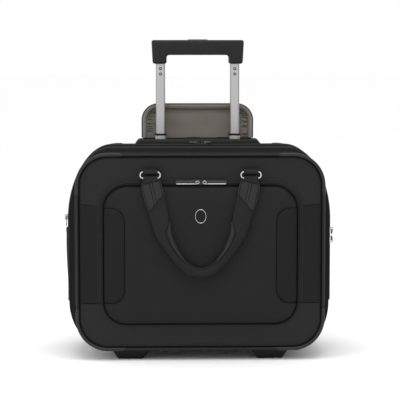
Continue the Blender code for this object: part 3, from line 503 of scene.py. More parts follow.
# %% The case's finishes
BODY_CLOTH = cloth("body_ballistic_cloth", 0.017, 0.030, 0.0011, rough=0.9, level=0.03)
# Painted shade: a darker copy of the body cloth without gloss, for the faces that turn to the sides
GUSSET_PAINTED_SHADE = cloth("gusset_painted_shade_cloth", 0.009, 0.017, 0.0011, rough=0.9, level=0.0)
POCKET_CLOTH = cloth("pocket_cloth", 0.013, 0.024, 0.0008)
SIDE_CLOTH = cloth("side_panel_cloth", 0.011, 0.019, 0.0014, rough=0.85)
# Painted shade: near-black cords of this cloth stand for the dark lines in seams, channels and creases
SEAM_SHADE_CLOTH = cloth("seam_painted_shade", 0.004, 0.008, 0.0008, rough=0.9, level=0.0)
TAPE_CLOTH = cloth("zip_tape_cloth", 0.014, 0.023, 0.0006)
WEBBING = cloth("strap_webbing", 0.014, 0.024, 0.0013, rough=0.7, relief=0.0002)
TAB_LEATHER = moulded("tab_coated_cloth", 0.019, 0.5, 900.0, 0.00006)
LINING = cloth("greige_lining", 0.14, 0.18, 0.0005, 0.65, 0.1, 0.12, 0.00004, 0.25)
LINING_RIM = cloth("greige_rim", 0.19, 0.24, 0.0007, 0.65, 0.1, 0.11, 0.00005, 0.25)
PIPING = moulded("piping_coated", 0.012, 0.42, 700.0)
GUARD = moulded("corner_guard_plastic", 0.018, 0.4, 1800.0, level=0.2)
THREAD = moulded("sewing_thread", 0.036, 0.55, 5000.0)
COIL = moulded("zip_coil_nylon", 0.012, 0.4, 2500.0)
PLASTIC = moulded("black_plastic", 0.006, 0.42)
GRIP = moulded("grip_satin_plastic", 0.011, 0.38, 2200.0, 0.00002, level=0.2)
BUTTON = moulded("button_plastic", 0.020, 0.4, 2000.0, level=0.2)
TYRE = moulded("tyre_rubber", 0.012, 0.75, 900.0, 0.00008, dust=0.3)
HUB = moulded("hub_plastic", 0.06, 0.42, 1600.0, dust=0.15, level=0.3)
BOARD = cloth("board_cloth", 0.09, 0.12, 0.0009, warm=0.08, mapped=False)
ALUMINIUM = metal("anodised_aluminium", 0.48, 0.36, groove_shade=True)
STEEL = metal("zinc_steel", 0.50, 0.34, brushed=False)
GUNMETAL = metal("gunmetal", 0.055, 0.3, brushed=False)
NICKEL = metal("bright_nickel", 0.52, 0.24, brushed=False)
print(len(bpy.data.materials), "materials")

# %% Floor
def make_floor():
    """A wide flat floor of pale matt paint with a faint roll texture."""
    mesh = bpy.data.meshes.new("floor")
    mesh.from_pydata([(-30, -30, 0), (30, -30, 0), (30, 30, 0), (-30, 30, 0)], [], [(0, 1, 2, 3)])
    floor = add_object("floor", mesh)
    material, tree, shader, coords = start_material("floor_paint")
    roll = noise(tree, coords.outputs["Object"], 30.0, 3.0)
    tree.links.new(blend_colours(tree, roll, grey(0.985), grey(0.995)), shader.inputs["Base Color"])
    shader.inputs["Roughness"].default_value = 0.9
    shader.inputs["Specular IOR Level"].default_value = 0.1
    mesh.materials.append(material)


make_floor()
print("floor laid")

# %% [markdown]
# ## The body's outline
# Seen from the front the body is a rounded rectangle at every depth. It swells between the two corded edges
# like a drum, and its top is highest a little behind the middle. One function walks such an outline evenly by
# length, so grids at different depths line up column by column.

# %% Outlines
def outline(half, low, top, corners, y, f):
    """Points at shares f round a standing rounded rectangle, from the bottom's middle up the right side and back
    down the left: straight, quarter turn, up, quarter turn, straight. Sizes may be arrays, one value a row."""
    half, low, top, y = (np.atleast_1d(np.asarray(v, float))[:, None] for v in (half, low, top, y))
    lower, upper = (np.maximum(np.atleast_1d(np.asarray(v, float))[:, None], 1e-6) for v in corners)
    f = np.asarray(f)[None]
    first, last = half - lower, half - upper
    turn1, turn2, rise = lower * np.pi / 2, upper * np.pi / 2, top - low - lower - upper
    s = (1 - np.abs(1 - 2 * f)) * (first + turn1 + rise + turn2 + last)
    a = np.clip((s - first) / lower, 0, np.pi / 2)
    b = np.clip((s - first - turn1 - rise) / upper, 0, np.pi / 2)
    out = np.clip(s, 0, first) + lower * np.sin(a) - upper * (1 - np.cos(b))
    out = out - np.clip(s - first - turn1 - rise - turn2, 0, last)
    up = low + lower * (1 - np.cos(a)) + np.clip(s - first - turn1, 0, rise) + upper * np.sin(b)
    return np.stack(np.broadcast_arrays(np.where(f <= 0.5, out, -out), y, up), -1)


def body_half(y):
    return 196.5 * mm + 15.5 * mm * (1 - (y / side_y) ** 2)


def body_top(y):
    return 329.5 * mm + 6.5 * mm * (1 - ((y - 20 * mm) / (112.8 * mm)) ** 2)


def body(y, f, grow=0.0):
    """The cloth body's outline at each depth y, moved outwards by grow. Near the cords its corners are round. In the
    middle the upper ones are ellipses 70 mm wide and 125 mm tall, made by stretching heights."""
    y = np.atleast_1d(y)
    middle = 1 - (y / side_y) ** 2
    edge = np.where(y < 0, 50.3 * mm, 64.3 * mm)
    low_corner = edge + 15.5 * mm * middle + grow
    across = edge + (70 * mm - edge) * middle + grow
    down = (edge + (125 * mm - edge) * middle + grow)[:, None]
    low, top = 17.5 * mm - grow, body_top(y) + grow
    points = outline(body_half(y) + grow, low, top, (low_corner, across), y, f)
    z, wide, foot, head = points[..., 2], across[:, None], (low + low_corner)[:, None], top[:, None]
    share = np.clip((z - foot) / (head - wide - foot), 0, 1)
    side = foot + (head - down - foot) * share
    corner = head - down + (z - head + wide) * down / wide
    points[..., 2] = np.where(z > head - wide, corner, np.where(z > foot, side, z))
    return points


def wall(top, grow, y, f):
    """The flat front or rear wall's outline, moved outwards by grow."""
    grow = np.atleast_1d(grow)
    corner = (front_corner if top == FRONT_TOP else rear_corner) + grow
    return outline(wall_half + grow, wall_low - grow, top + grow, (corner, corner), y, f)


def share_at(points, z):
    """The share of the way round where a closed outline first climbs past height z."""
    heights = points[0, : points.shape[1] // 2, 2]
    return np.interp(z, heights, np.linspace(0, 0.5, len(heights), endpoint=False))


def inside(x, z, half, low, top, corner):
    """How far a point lies inside a rounded rectangle; negative outside it."""
    middle, reach = (low + top) / 2, (top - low) / 2
    qx, qz = np.abs(x) - (half - corner), np.abs(z - middle) - (reach - corner)
    return corner - np.hypot(np.maximum(qx, 0), np.maximum(qz, 0)) - np.minimum(np.maximum(qx, qz), 0)


def pocket_inside(x, z):
    return inside(x, z, pocket_half, pocket_low, pocket_top, 36.5 * mm)


ROUND = np.linspace(0, 1, 400, endpoint=False)
print("body widest", round(2 * body_half(0) / mm, 1), "mm, crest", round(body_top(20 * mm) / mm, 1), "mm")

# %% [markdown]
# ## The cloth shells
# The real body is panels of ballistic cloth stitched over foam: a front cover that opens at the zip, and a rear
# shell with the floor. Each is one skin here: a flat wall, a tight turn under the cord, then the swollen side.
# The openings for the pull handle and the wheels are cut afterwards with exact Booleans, as a maker would cut
# the cloth for a moulded part.

# %% Shell helpers
def front_relief(x, z):
    """How far the front wall stands out: drawn in along the cord and round the pocket, slightly uneven between."""
    edge = inside(x, z, wall_half, wall_low, FRONT_TOP, front_corner)
    gap = -pocket_inside(x, z)
    out = 0.35 * mm * unevenness(x, z, 3, 0.11) * ease(edge / (12 * mm)) * ease(gap / (6 * mm))
    out = out - 3.0 * mm * np.exp(-((np.maximum(edge, 0) / (3.4 * mm)) ** 2))
    return out - 1.3 * mm * np.exp(-(((gap - 0.3 * mm) / (1.8 * mm)) ** 2))


def rear_relief(x, z):
    """How far the rear wall stands out: drawn in along the cord and slightly uneven."""
    edge = inside(x, z, wall_half, wall_low, REAR_TOP, rear_corner)
    drawn = 3.0 * mm * np.exp(-((np.maximum(edge, 0) / (3.4 * mm)) ** 2))
    return 0.5 * mm * unevenness(x, z, 5, 0.12) * ease(edge / (12 * mm)) - drawn


def gusset_relief(y, f):
    """Slow unevenness of the stretched side, nothing at the zips, and drawn in beside the cords."""
    y = np.atleast_1d(y)[:, None]
    calm = 1 - np.exp(-(((np.abs(y) - top_zip_y) / (11 * mm)) ** 2))
    wander = unevenness(y, np.sin(2 * np.pi * f)[None] * 0.4, 8, 0.09)
    edge = side_y - np.abs(y)
    return 0.6 * mm * wander * calm * ease(edge / (15 * mm)) - 1.4 * mm * np.exp(-edge / (2.5 * mm))


WALL_SHARES = np.concatenate([np.linspace(0, 0.72, 13), np.linspace(0.745, 1, 30)])
TURN = np.array([(-5.6, 96), (-4.2, 95.9), (-2.8, 95.3), (-1.6, 94.5), (-0.6, 93.7), (0.6, 93.15), (1.9, 92.95)]) * mm


def shell_grid(face, top, relief, depths, f, under=0.0):
    """Rows from the wall's middle to the mouth; under moves the whole surface inwards by a thickness."""
    ring = wall(top, -7 * mm - under, face * (96 * mm - under), f)[0]
    centre = np.array([0, face * (96 * mm - under), (wall_low + top) / 2])
    flat = centre + (ring - centre) * WALL_SHARES[:, None, None]
    flat[..., 1] += face * relief(flat[..., 0], flat[..., 2])
    turn = wall(top, TURN[:, 0] - under, face * (TURN[:, 1] - under), f)
    turn[..., 1] += face * relief(turn[..., 0], turn[..., 2]) * (TURN[:, 1] > 95.4 * mm)[:, None]
    grow = gusset_relief(depths, f) - under
    side = np.concatenate([body(y, f) for y in depths])
    lean = np.concatenate([body(y, f, 1 * mm) for y in depths]) - side
    return np.concatenate([flat, turn, side + lean * (grow / mm)[..., None]])


def shell_map(grid, wall_rows):
    """A cloth map in metres: across and up on the wall, round and deep on the side."""
    uv = grid[..., (0, 2)].copy()
    uv[wall_rows:, :, 0] = lengths(grid)[wall_rows:, :, 0]
    uv[wall_rows:, :, 1] = grid[wall_rows:, :, 1]
    return uv


def bake_modifiers(obj):
    """Replaces an object's mesh by what its modifiers make of it."""
    graph = bpy.context.evaluated_depsgraph_get()
    mesh = bpy.data.meshes.new_from_object(obj.evaluated_get(graph), depsgraph=graph)
    obj.modifiers.clear()
    obj.data = mesh
    return obj


def prism(outline_yz, low_x, high_x):
    """A closed (y, z) outline extruded along X, as a cutter."""
    count = len(outline_yz)
    points = [(x, y, z) for x in (low_x, high_x) for y, z in outline_yz]
    faces = [tuple(range(count)), tuple(range(2 * count - 1, count - 1, -1))]
    faces += [(i, i + count, (i + 1) % count + count, (i + 1) % count) for i in range(count)]
    mesh = bpy.data.meshes.new("cutter")
    mesh.from_pydata(points, [], faces)
    with editing(mesh):
        pass
    return add_object("cutter", mesh)


def cut_away(obj, cutters, sharp=50):
    """Cuts shapes from a closed skin and throws the cutters away."""
    for cutter in cutters:
        step = obj.modifiers.new("cut", "BOOLEAN")
        step.operation, step.solver, step.object = "DIFFERENCE", "EXACT", cutter
        bake_modifiers(obj)
        bpy.data.objects.remove(cutter)
    shade(obj.data, sharp)


def box_outline(low_y, high_y, low_z, high_z):
    """A rectangle in (y, z), for a prism."""
    return [(low_y, low_z), (high_y, low_z), (high_y, high_z), (low_y, high_z)]


def arch_outline(grow):
    """The wheel housing from the side: a flat front and an arch over the axle."""
    angles = np.radians(np.linspace(158, -10, 22))
    radius = 38.5 * mm + grow
    arch = [(86.5 * mm + radius * math.cos(a), 31 * mm + radius * math.sin(a)) for a in angles]
    arch[0] = (46 * mm - grow, arch[0][1])
    return [(46 * mm - grow, 14 * mm - grow), *arch, (100.5 * mm, 14 * mm - grow)]

# %% The two shells and their linings
near_cord = [-92.7, -92.0, -91.0, -89.6, -88, -86, -83.5, -81]
front_depths = np.concatenate([near_cord, np.linspace(-78, -30.3, 15)]) * mm
rear_depths = -np.concatenate([near_cord, np.linspace(-78, 88.2, 44)]) * mm
pan_top, far = 85.15 * mm, 0.5


def below_cover():
    """What the cover leaves to the rear shell: all below the hinge line."""
    return [prism(box_outline(-88.35 * mm, far, -far, pan_top), -far, far)]


def shell_openings(grow):
    """What the rear shell leaves out: all that the cover holds, the handle well and the two wheel housings."""
    openings = [
        prism(box_outline(-far, -29.85 * mm, pan_top, far), -far, far),
        prism(box_outline(53.9 * mm - grow, 90.1 * mm + grow, 296.5 * mm, far), -98.9 * mm - grow, 98.9 * mm + grow),
    ]
    for side in (-1, 1):
        ends = sorted((side * (136.2 * mm - grow), side * (175.8 * mm + grow)))
        openings.append(prism(arch_outline(0.3 * mm + grow), *ends))
    return openings


def make_shell(name, face, top, relief, depths, low, high, openings, material, on, slot, replaces=()):
    """A skin between two depths under the body's surface, trimmed."""
    outer = shell_grid(face, top, relief, depths, ROUND, low)
    inner = shell_grid(face, top, relief, depths, ROUND, high)
    uv = shell_map(outer, len(WALL_SHARES) + 3)
    shell = skin(name, outer, inner, True, uv)
    cut_away(shell, openings)
    settle(shell, on, material, replaces)
    # Painted shade: faces that turn to the sides take the darker copy of the body cloth
    if material is BODY_CLOTH:
        shell.data.materials.append(GUSSET_PAINTED_SHADE)
        normals = np.empty(3 * len(shell.data.polygons), np.float32)
        shell.data.polygons.foreach_get("normal", normals)
        shell.data.polygons.foreach_set("material_index", (np.abs(normals[1::3]) < 0.75).astype(np.int32))
    return shell


cloth_skin, lining_skin = (0, 1.8 * mm), (3.2 * mm, 4.0 * mm)  # depths of the two faces under the body's surface
make_shell("cover_cloth", -1, FRONT_TOP, front_relief, front_depths, *cloth_skin, below_cover(),
           BODY_CLOTH, "cover", "fabric", ("front_cover",))
# A lining's wall turns 4 mm nearer the middle, so its side starts past the first rows, or it would fold back.
turned_rows = 4
make_shell("cover_lining", -1, FRONT_TOP, front_relief, front_depths[turned_rows:] + 0.01 * mm, *lining_skin,
           below_cover(), LINING, "cover", "lining")
make_shell("rear_cloth", 1, REAR_TOP, rear_relief, rear_depths, *cloth_skin, shell_openings(0),
           BODY_CLOTH, "case", "fabric", ("main_shell",))
make_shell("rear_lining", 1, REAR_TOP, rear_relief, rear_depths[turned_rows:], *lining_skin,
           shell_openings(0.2 * mm), LINING, "case", "lining")

# %% [markdown]
# ## Cords and corner guards
# A coated cord is sewn into the seam all round the front and rear walls. It is a circle carried along the
# wall's outline. Over each front corner, and the rear's upper ones, a moulded guard clips over the cord: the
# same path with a larger, flatter section that ends square.

# %% Cords
def ring_points(centre_rows, outward_rows, face, radius_out, radius_deep, steps=12):
    """Circles or ovals round a path: cosine times the outward direction plus sine times the depth direction."""
    angle = np.linspace(0, 2 * np.pi, steps, endpoint=False)[None, :, None]
    deep = np.array([0, face, 0])
    return centre_rows[:, None] + outward_rows[:, None] * np.cos(angle) * radius_out[:, None, None] + (
        deep * np.sin(angle) * radius_deep[:, None, None]
    )


def cord_path(face, top, f, grow=2.3 * mm):
    """Centre line and outward directions of the cord at shares f."""
    y = face * cord_y
    centre = wall(top, grow, y, f)[0]
    return centre, (wall(top, grow + 1 * mm, y, f)[0] - centre) / mm


def make_cord(name, face, top, f, closed, on, replaces):
    """The coated cord, 4 mm thick and very slightly uneven."""
    centre, outward = cord_path(face, top, f)
    wobble = 0.06 * mm * unevenness(np.arange(len(f)) * 0.003, 0.0, 11, 0.05)
    radius = np.full(len(f), 2.0 * mm) + wobble
    piece = tube(name, ring_points(centre, outward, face, radius, radius), close_rows=closed)
    settle(piece, on, PIPING, replaces)


rear_start = share_at(wall(REAR_TOP, 2.3 * mm, cord_y, ROUND), 86 * mm)
make_cord("front_cord", -1, FRONT_TOP, ROUND, True, "cover", ("front_piping",))
make_cord("rear_cord", 1, REAR_TOP, np.linspace(rear_start, 1 - rear_start, 340), False, "case", ("rear_piping",))


def make_guard(name, face, top, start, end, on):
    """A flattened tube over the cord that swells from nothing to full size within its first millimetre."""
    f = np.linspace(start, end, 70)
    centre, outward = cord_path(face, top, f, 2.5 * mm)
    ends = np.minimum(f - f[0], f[-1] - f) * 1230 * mm
    size = 0.86 + 0.14 * ease(ends / (1.6 * mm))
    grid = ring_points(centre, outward, face, 2.75 * mm * size, 2.65 * mm * size, 14)
    settle(tube(name, grid), on, GUARD)


def share_of(face, top, x, z):
    """The share round the cord of the point nearest to (x, z) on its right half."""
    f = np.linspace(0, 0.5, 2000)
    points = wall(top, 2.3 * mm, face * cord_y, f)[0]
    return f[np.argmin(np.hypot(points[:, 0] - x, points[:, 2] - z))]


guards = (  # name, face, top, the two ends (x, z), body
    ("front_guard_low", -1, FRONT_TOP, (120.5 * mm, 18 * mm), (194.5 * mm, 82 * mm), "cover"),
    ("front_guard_high", -1, FRONT_TOP, (194.5 * mm, 263 * mm), (124.5 * mm, 327 * mm), "cover"),
    ("rear_guard", 1, REAR_TOP, (194.5 * mm, 268 * mm), (124.5 * mm, 332.8 * mm), "case"),
)
for side, label in ((0, "right"), (1, "left")):
    for name, face, top, *ends, on in guards:
        pair = sorted(abs(side - share_of(face, top, *end)) for end in ends)
        make_guard(f"{name}_{label}", face, top, *pair, on)


# %% Fine cords
def across_path(run):
    """Directions square to a path's own, in the plane of X and Z."""
    return np.stack([run[:, 2], 0 * run[:, 0], -run[:, 0]], -1)


def fine_cord(name, path, radius, on, material=None, closed=False):
    """A thin round cord along a path that keeps to one depth; by default near-black, as painted shade in a seam,
    channel or crease.
    """
    grid = wire(path, across_path(heading(path, closed)), radius, 8)
    settle(tube(name, grid, close_rows=closed), on, material or SEAM_SHADE_CLOTH)



# %% [markdown]
# ## The padded front pocket
# The pocket is foam between two cloths, held flat along its rim. Its solid is a lofted tray; here it is remeshed
# into even squares and blown up a little by a cloth simulation with its back held still, so that the front
# crowns unevenly as a sewn pad does. How far a point may move is capped, to keep the measured depth. The sewn
# channels beside the side panels come last, because a remesh would lose them.

# %% Inflate a pad
def vertex_array(obj):
    """A mesh's points as an array (n, 3)."""
    flat = np.empty(len(obj.data.vertices) * 3, np.float32)
    obj.data.vertices.foreach_get("co", flat)
    return flat.reshape(-1, 3).astype(float)


def set_points(obj, points):
    obj.data.vertices.foreach_set("co", points.astype(np.float32).ravel())


def puff(obj, held, cap, voxel):
    """Voxel remesh, Cloth with pressure and no gravity over 20 frames, capped movement, one subdivision."""
    remesh = obj.modifiers.new("even", "REMESH")
    remesh.mode, remesh.voxel_size, remesh.adaptivity = "VOXEL", voxel, 0
    bake_modifiers(obj)
    rest = vertex_array(obj)
    group = obj.vertex_groups.new(name="held")
    group.add(np.flatnonzero(held(rest)).tolist(), 1.0, "REPLACE")
    cloth_step = obj.modifiers.new("blow", "CLOTH")
    rules = cloth_step.settings
    rules.quality, rules.mass = 4, 0.25
    rules.tension_stiffness = rules.compression_stiffness = 25
    rules.bending_stiffness = 2.0
    rules.use_pressure, rules.uniform_pressure_force = True, 4.0
    rules.effector_weights.gravity = 0
    rules.vertex_group_mass = "held"
    for step in range(1, 21):
        scene.frame_set(step)
    move = vertex_array(obj.evaluated_get(bpy.context.evaluated_depsgraph_get())) - rest
    size = np.linalg.norm(move, axis=1, keepdims=True)
    rest = rest + move * np.tanh(size / cap) * cap / np.maximum(size, 1e-9)
    obj.modifiers.clear()
    obj.vertex_groups.clear()
    scene.frame_set(1)
    print(obj.name, "moved at most", round(float(size.max()) / mm, 2), "mm before the cap")
    set_points(obj, rest)
    finer = obj.modifiers.new("finer", "SUBSURF")
    finer.levels = finer.render_levels = 1
    return bake_modifiers(obj)


def set_flat_map(obj, axes):
    """A cloth map in metres looking straight at the piece, for meshes that have lost theirs."""
    layer = obj.data.uv_layers.new(name="cloth")
    corners = np.empty(len(obj.data.loops), np.int32)
    obj.data.loops.foreach_get("vertex_index", corners)
    layer.data.foreach_set("uv", vertex_array(obj)[corners][:, axes].astype(np.float32).ravel())
    shade(obj.data)

# %% The pad
def pocket_ring(inset, y, f):
    """The pocket's outline moved inwards; its corners tighten until they are nearly square."""
    inset = np.atleast_1d(inset)
    low, high = np.maximum(35 * mm - inset, 3 * mm), np.maximum(38 * mm - inset, 3 * mm)
    return outline(pocket_half - inset, pocket_low + inset, pocket_top - inset, (low, high), y, f)


def panel_inside(x, z):
    """How far a point lies inside the darker side panel of the pocket, from its sewn inner edge."""
    return inside(np.abs(x) - facing_middle, z, facing_half, facing_low, facing_top, facing_corner)


def make_pad():
    """A tray lofted from the back's middle round the rim to the front's, then inflated and given its channels."""
    insets = np.array([0, 0.15, 0.6, 1.5, 2.6, 4.5, 7, 11, 16, 25, 35, 45, 60, 75, 90, 105])
    rises = np.interp(insets, [0, 0.6, 2.6, 7, 16, 45], [0, 3.2, 5.8, 7.8, 9.2, 10.0])
    f = np.linspace(0, 1, 160, endpoint=False)
    front = pocket_ring(insets * mm, -(96.3 + rises) * mm, f)
    back = pocket_ring(np.array([105, 60, 30, 10, 0.01]) * mm, np.full(5, -cord_y), f)
    pad = tube("pocket_pad", np.concatenate([back, front]))
    puff(pad, lambda p: p[:, 1] > -98.6 * mm, 1.1 * mm, 4.0 * mm)
    points = vertex_array(pad)
    on_front = ease((-points[:, 1] - 99 * mm) / (3 * mm))
    channel = 1.5 * mm * np.exp(-(((panel_inside(points[:, 0], points[:, 2]) + 0.8 * mm) / (2.2 * mm)) ** 2))
    points[:, 1] += channel * on_front
    points[:, 1] = np.minimum(points[:, 1], -cord_y)
    set_points(pad, points)
    set_flat_map(pad, (0, 2))
    settle(pad, "cover", POCKET_CLOTH, ("front_pocket_panel",))
    return pad


pad = make_pad()
print("pad polygons", len(pad.data.polygons), "front at", round(vertex_array(pad)[:, 1].min() / mm, 1), "mm")

# %% [markdown]
# ## Darker side panels
# At each side the pocket and the wall beside it are faced with a heavier, duller cloth, sewn on with its edge
# turned under. Each facing is a grid laid over its ground: on the wall by the wall's own formula, and on the
# pad by rays cast at it. Its edge sinks into the channel, and the rest stands half a millimetre proud.

# %% Side facings
def lay_on(target, grid):
    """The grid's points moved back along Y until they meet the target; one that meets nothing goes to the wall."""
    mesh = target.data
    surface = BVHTree.FromPolygons([v.co for v in mesh.vertices], [tuple(p.vertices) for p in mesh.polygons])
    laid = grid.reshape(-1, 3).astype(float)
    missed = 0
    for point in laid:
        hit = surface.ray_cast(Vector(point), Vector((0, 1, 0)))[0]
        point[1] = hit.y if hit else -96.6 * mm
        missed += hit is None
    print("points laid", len(laid), "missed", missed, "front", round(laid[:, 1].min() / mm, 1), "mm")
    return laid.reshape(grid.shape)


def panel_heights(low, top):
    """Heights with close rows at both rounded ends."""
    t = (1 - np.cos(np.linspace(0, np.pi, 90))) / 2
    return low + (top - low) * t


def make_pad_facing(side, label):
    """The darker cloth on the pad, from its sewn inner edge to the pad's side."""
    z = panel_heights(92.8 * mm, 243.3 * mm)
    end = np.minimum(z - facing_low, facing_top - z)
    bend = np.clip(facing_corner - end, 0, facing_corner)
    inner = 119.9 * mm + facing_corner - np.sqrt(np.maximum(facing_corner**2 - bend**2, 0))
    across = np.concatenate([np.linspace(0, 0.12, 6), np.linspace(0.16, 1, 22)])
    x = inner[:, None] + (152.3 * mm - inner)[:, None] * across
    grid = np.stack([side * x, np.full_like(x, -0.13), np.broadcast_to(z[:, None], x.shape)], -1)
    laid = lay_on(pad, grid)
    depth = panel_inside(laid[..., 0], laid[..., 2])
    proud = (-0.45 + 1.1 * ease(depth / (2.6 * mm))) * mm
    outer, under = laid.copy(), laid.copy()
    outer[..., 1] -= proud
    under[..., 1] += 0.5 * mm - np.minimum(proud, 0)
    facing = skin(f"pocket_facing_{label}", outer, under)
    settle(facing, "cover", SIDE_CLOTH)


def make_wall_facing(side, label):
    """The darker cloth on the wall beside the pocket, with a near-black cord of painted shade in its seam above and
    below.
    """
    z = panel_heights(91.8 * mm, 249 * mm)
    across = np.concatenate([np.linspace(0, 0.15, 4), np.linspace(0.2, 0.86, 14), np.linspace(0.89, 1, 6)])
    x = 158 * mm + 33.4 * mm * across[None] + 0 * z[:, None]
    z = z[:, None] - 3.0 * mm * (1 - across[None]) * ease((z[:, None] - 0.2) / 0.049)
    edge = np.minimum(z - z[:1], z[-1:] - z)
    height = front_relief(x, z) + (-0.3 + 0.85 * ease(edge / (2.4 * mm))) * mm
    outer = np.stack([side * x, -96 * mm - height, z], -1)
    under = np.stack([side * x, -95.6 * mm - np.minimum(height, 0), z], -1)
    settle(skin(f"wall_facing_{label}", outer, under), "cover", SIDE_CLOTH)
    # Painted shade along the facing's upper and lower seams
    for word, row in (("lower", 0), ("upper", -1)):
        fine_cord(f"wall_facing_seam_{word}_{label}", outer[row] - np.array([0, 0.15 * mm, 0]), 0.55 * mm, "cover")


def make_facing_seam(side, label):
    """The turned edge of the pad's facing, as a thin near-black cord in its channel: painted shade for the channel."""
    f = np.linspace(0.5, 1, 900)
    edge = outline(facing_half, facing_low, facing_top, (facing_corner, facing_corner), -0.13, f)[0]
    edge[:, 0] += facing_middle
    edge = edge[edge[:, 0] < 151.8 * mm][::4]
    edge[:, 0] *= side
    laid = lay_on(pad, edge)
    fine_cord(f"pocket_facing_seam_{label}", laid + np.array([0, 0.1 * mm, 0]), 0.65 * mm, "cover")


for side, label in ((-1, "left"), (1, "right")):
    make_pad_facing(side, label)
    make_wall_facing(side, label)
    make_facing_seam(side, label)
# Painted shade: near-black cords round the pocket's base and in the groove inside the front cord
fine_cord("pocket_seam", pocket_ring(-0.25 * mm, -96.5 * mm, ROUND)[0], 0.7 * mm, "cover", closed=True)
fine_cord("front_wall_seam_shade", wall(FRONT_TOP, -0.9 * mm, -96.1 * mm, ROUND)[0], 0.8 * mm, "cover", closed=True)
print("facings laid")

# %% [markdown]
# ## Zips
# A coil zip is two woven tapes with a nylon coil sewn along each. The tapes are low strips that follow their
# seam, and each coil is a ridge whose height goes up and down as a sine with the pitch of the turns. The zip
# between cover and rear shell comes apart when the cover opens, so each half rides on its own body.

# %% Zip helpers
def coil(name, path, across, out, sides, on):
    """Ridges along a path: half a sine across each, times a sine along it with one wave a turn of the coil."""
    s = way_gone(path)
    columns, heights = [], []
    for side in sides:
        a = np.linspace(0.15, 2.35, 7) * mm
        turn = 0.5 + 0.5 * np.sin(2 * np.pi * s / (1.3 * mm) + (np.pi if side > 0 else 0))
        ridge = np.sin(np.pi * np.linspace(0.12, 1, 7)) ** 0.6
        columns.append(side * a)
        heights.append((1.05 + 0.5 * turn)[:, None] * ridge[None] * mm)
    a, h = np.concatenate(columns), np.concatenate(heights, 1)
    order = np.argsort(a)
    a, h = a[order], h[:, order]
    top = path[:, None] + across[:, None] * a[None, :, None] + out[:, None] * h[..., None]
    base = path[:, None] + across[:, None] * a[None, :, None] - out[:, None] * 0.2 * mm
    settle(skin(name, top, base, sharp=180), on, COIL)


def strip(name, rows_of, offsets, heights, f, on, material=TAPE_CLOTH):
    """A low strip: rows_of(offset, height, f) gives each row; the underside lies a little below the ground."""
    outer = np.concatenate([rows_of(o * mm, h * mm, f) for o, h in zip(offsets, heights)])
    under = np.concatenate([rows_of(o * mm, -0.35 * mm, f) for o in offsets])
    return settle(skin(name, outer, under), on, material)


def gusset_rows(middle):
    """Rows of a strip that runs round the body at a depth; offset is to the rear."""
    return lambda offset, height, f: body(middle + offset, f, height)


def arc(middle_y, low_z, count):
    """Shares of the way round above a height, right side to left side."""
    start = share_at(body(middle_y, ROUND), low_z)
    return np.linspace(start, 1 - start, count)


def gusset_coil(name, y, low_z, sides, on, gap=0.0):
    f = arc(y, low_z, 2300)
    path = body(y, f, 0.5 * mm)[0]
    out = (body(y, f, 1.5 * mm)[0] - path) / mm
    across = np.broadcast_to(np.array([0.0, 1.0, 0.0]), path.shape)
    coil(name, path + across * gap, across, out, sides, on)


# %% The zips round the body
half_tape = np.array([0.35, 1.2, 3.0, 4.2, 6.5, 8.2, 8.9, 9.3])
half_height = [0.25, 0.75, 0.9, 0.85, 0.95, 0.9, 0.5, -0.25]
zip_low = 88 * mm
split = arc(split_y, zip_low, 260)
strip("split_tape_cover", gusset_rows(split_y), -half_tape[::-1], half_height[::-1], split, "cover")
strip("split_tape_case", gusset_rows(split_y), half_tape, half_height, split, "case")
gusset_coil("split_coil_cover", split_y, zip_low, (-1,), "cover", -0.25 * mm)
gusset_coil("split_coil_case", split_y, zip_low, (1,), "case", 0.25 * mm)
whole_tape = np.concatenate([-half_tape[::-1], half_tape])
whole_height = half_height[::-1] + half_height
strip("top_tape", gusset_rows(top_zip_y), whole_tape, whole_height, arc(top_zip_y, 120 * mm, 240), "case")
gusset_coil("top_coil", top_zip_y, 121 * mm, (-1, 1), "case")
binding_offsets, binding_heights = [-2.6, -2.2, -1, 1, 2.2, 2.6], [-0.3, 0.5, 0.75, 0.75, 0.5, -0.3]
for label, y, on in (("front", -88.6 * mm, "cover"), ("rear", 88.6 * mm, "case")):
    strip(f"{label}_seam_tape", gusset_rows(y), binding_offsets, binding_heights, arc(y, zip_low, 260), on)


# %% The pocket's zip
def pocket_share(offset, z):
    return share_at(pocket_ring(-offset, -96 * mm, ROUND), z)


def pocket_rows(offset, height, f):
    """Rows of the strip round the pocket's top and sides; offset is outwards from the pocket's edge."""
    start = pocket_share(offset, 91.9 * mm)
    reach = start + (1 - 2 * start) * f
    return pocket_ring(-offset, -96 * mm - height, reach)


along_pocket = np.linspace(0, 1, 220)
strip("pocket_tape", pocket_rows, [0.5, 1.3, 2.6, 3.1, 4.6, 5.2, 5.5, 5.8, 6.4, 7.9, 8.4, 9.2, 9.8, 10.2],
      [-0.9, 0.5, 0.95, 0.8, 0.8, 0.5, 0.2, 0.5, 0.8, 0.8, 1.0, 1.05, 0.8, -0.25], along_pocket, "cover")
dense = np.linspace(0.004, 0.996, 1900)
pocket_line = pocket_rows(5.5 * mm, 0.15 * mm, dense)[0]
pocket_side = (pocket_rows(6.5 * mm, 0.15 * mm, dense)[0] - pocket_line) / mm
pocket_side /= np.linalg.norm(pocket_side, axis=1, keepdims=True)
toward = np.array([0.0, -1.0, 0.0])
coil("pocket_coil", pocket_line, pocket_side, np.broadcast_to(toward, pocket_line.shape), (-1, 1), "cover")

# %% [markdown]
# ## Carry handles
# Each carry handle is one strap. It lies flat where a coated tab is stitched over it, then its long edges are
# folded in until it is a round grip at the bottom. The strap is a section carried along a smooth path, and the
# fold is a groove that starts at its inner edge and moves round to the front. Short webbing loops hold it to
# two oval rings, and the rings hang in webbing anchors sewn to the wall.

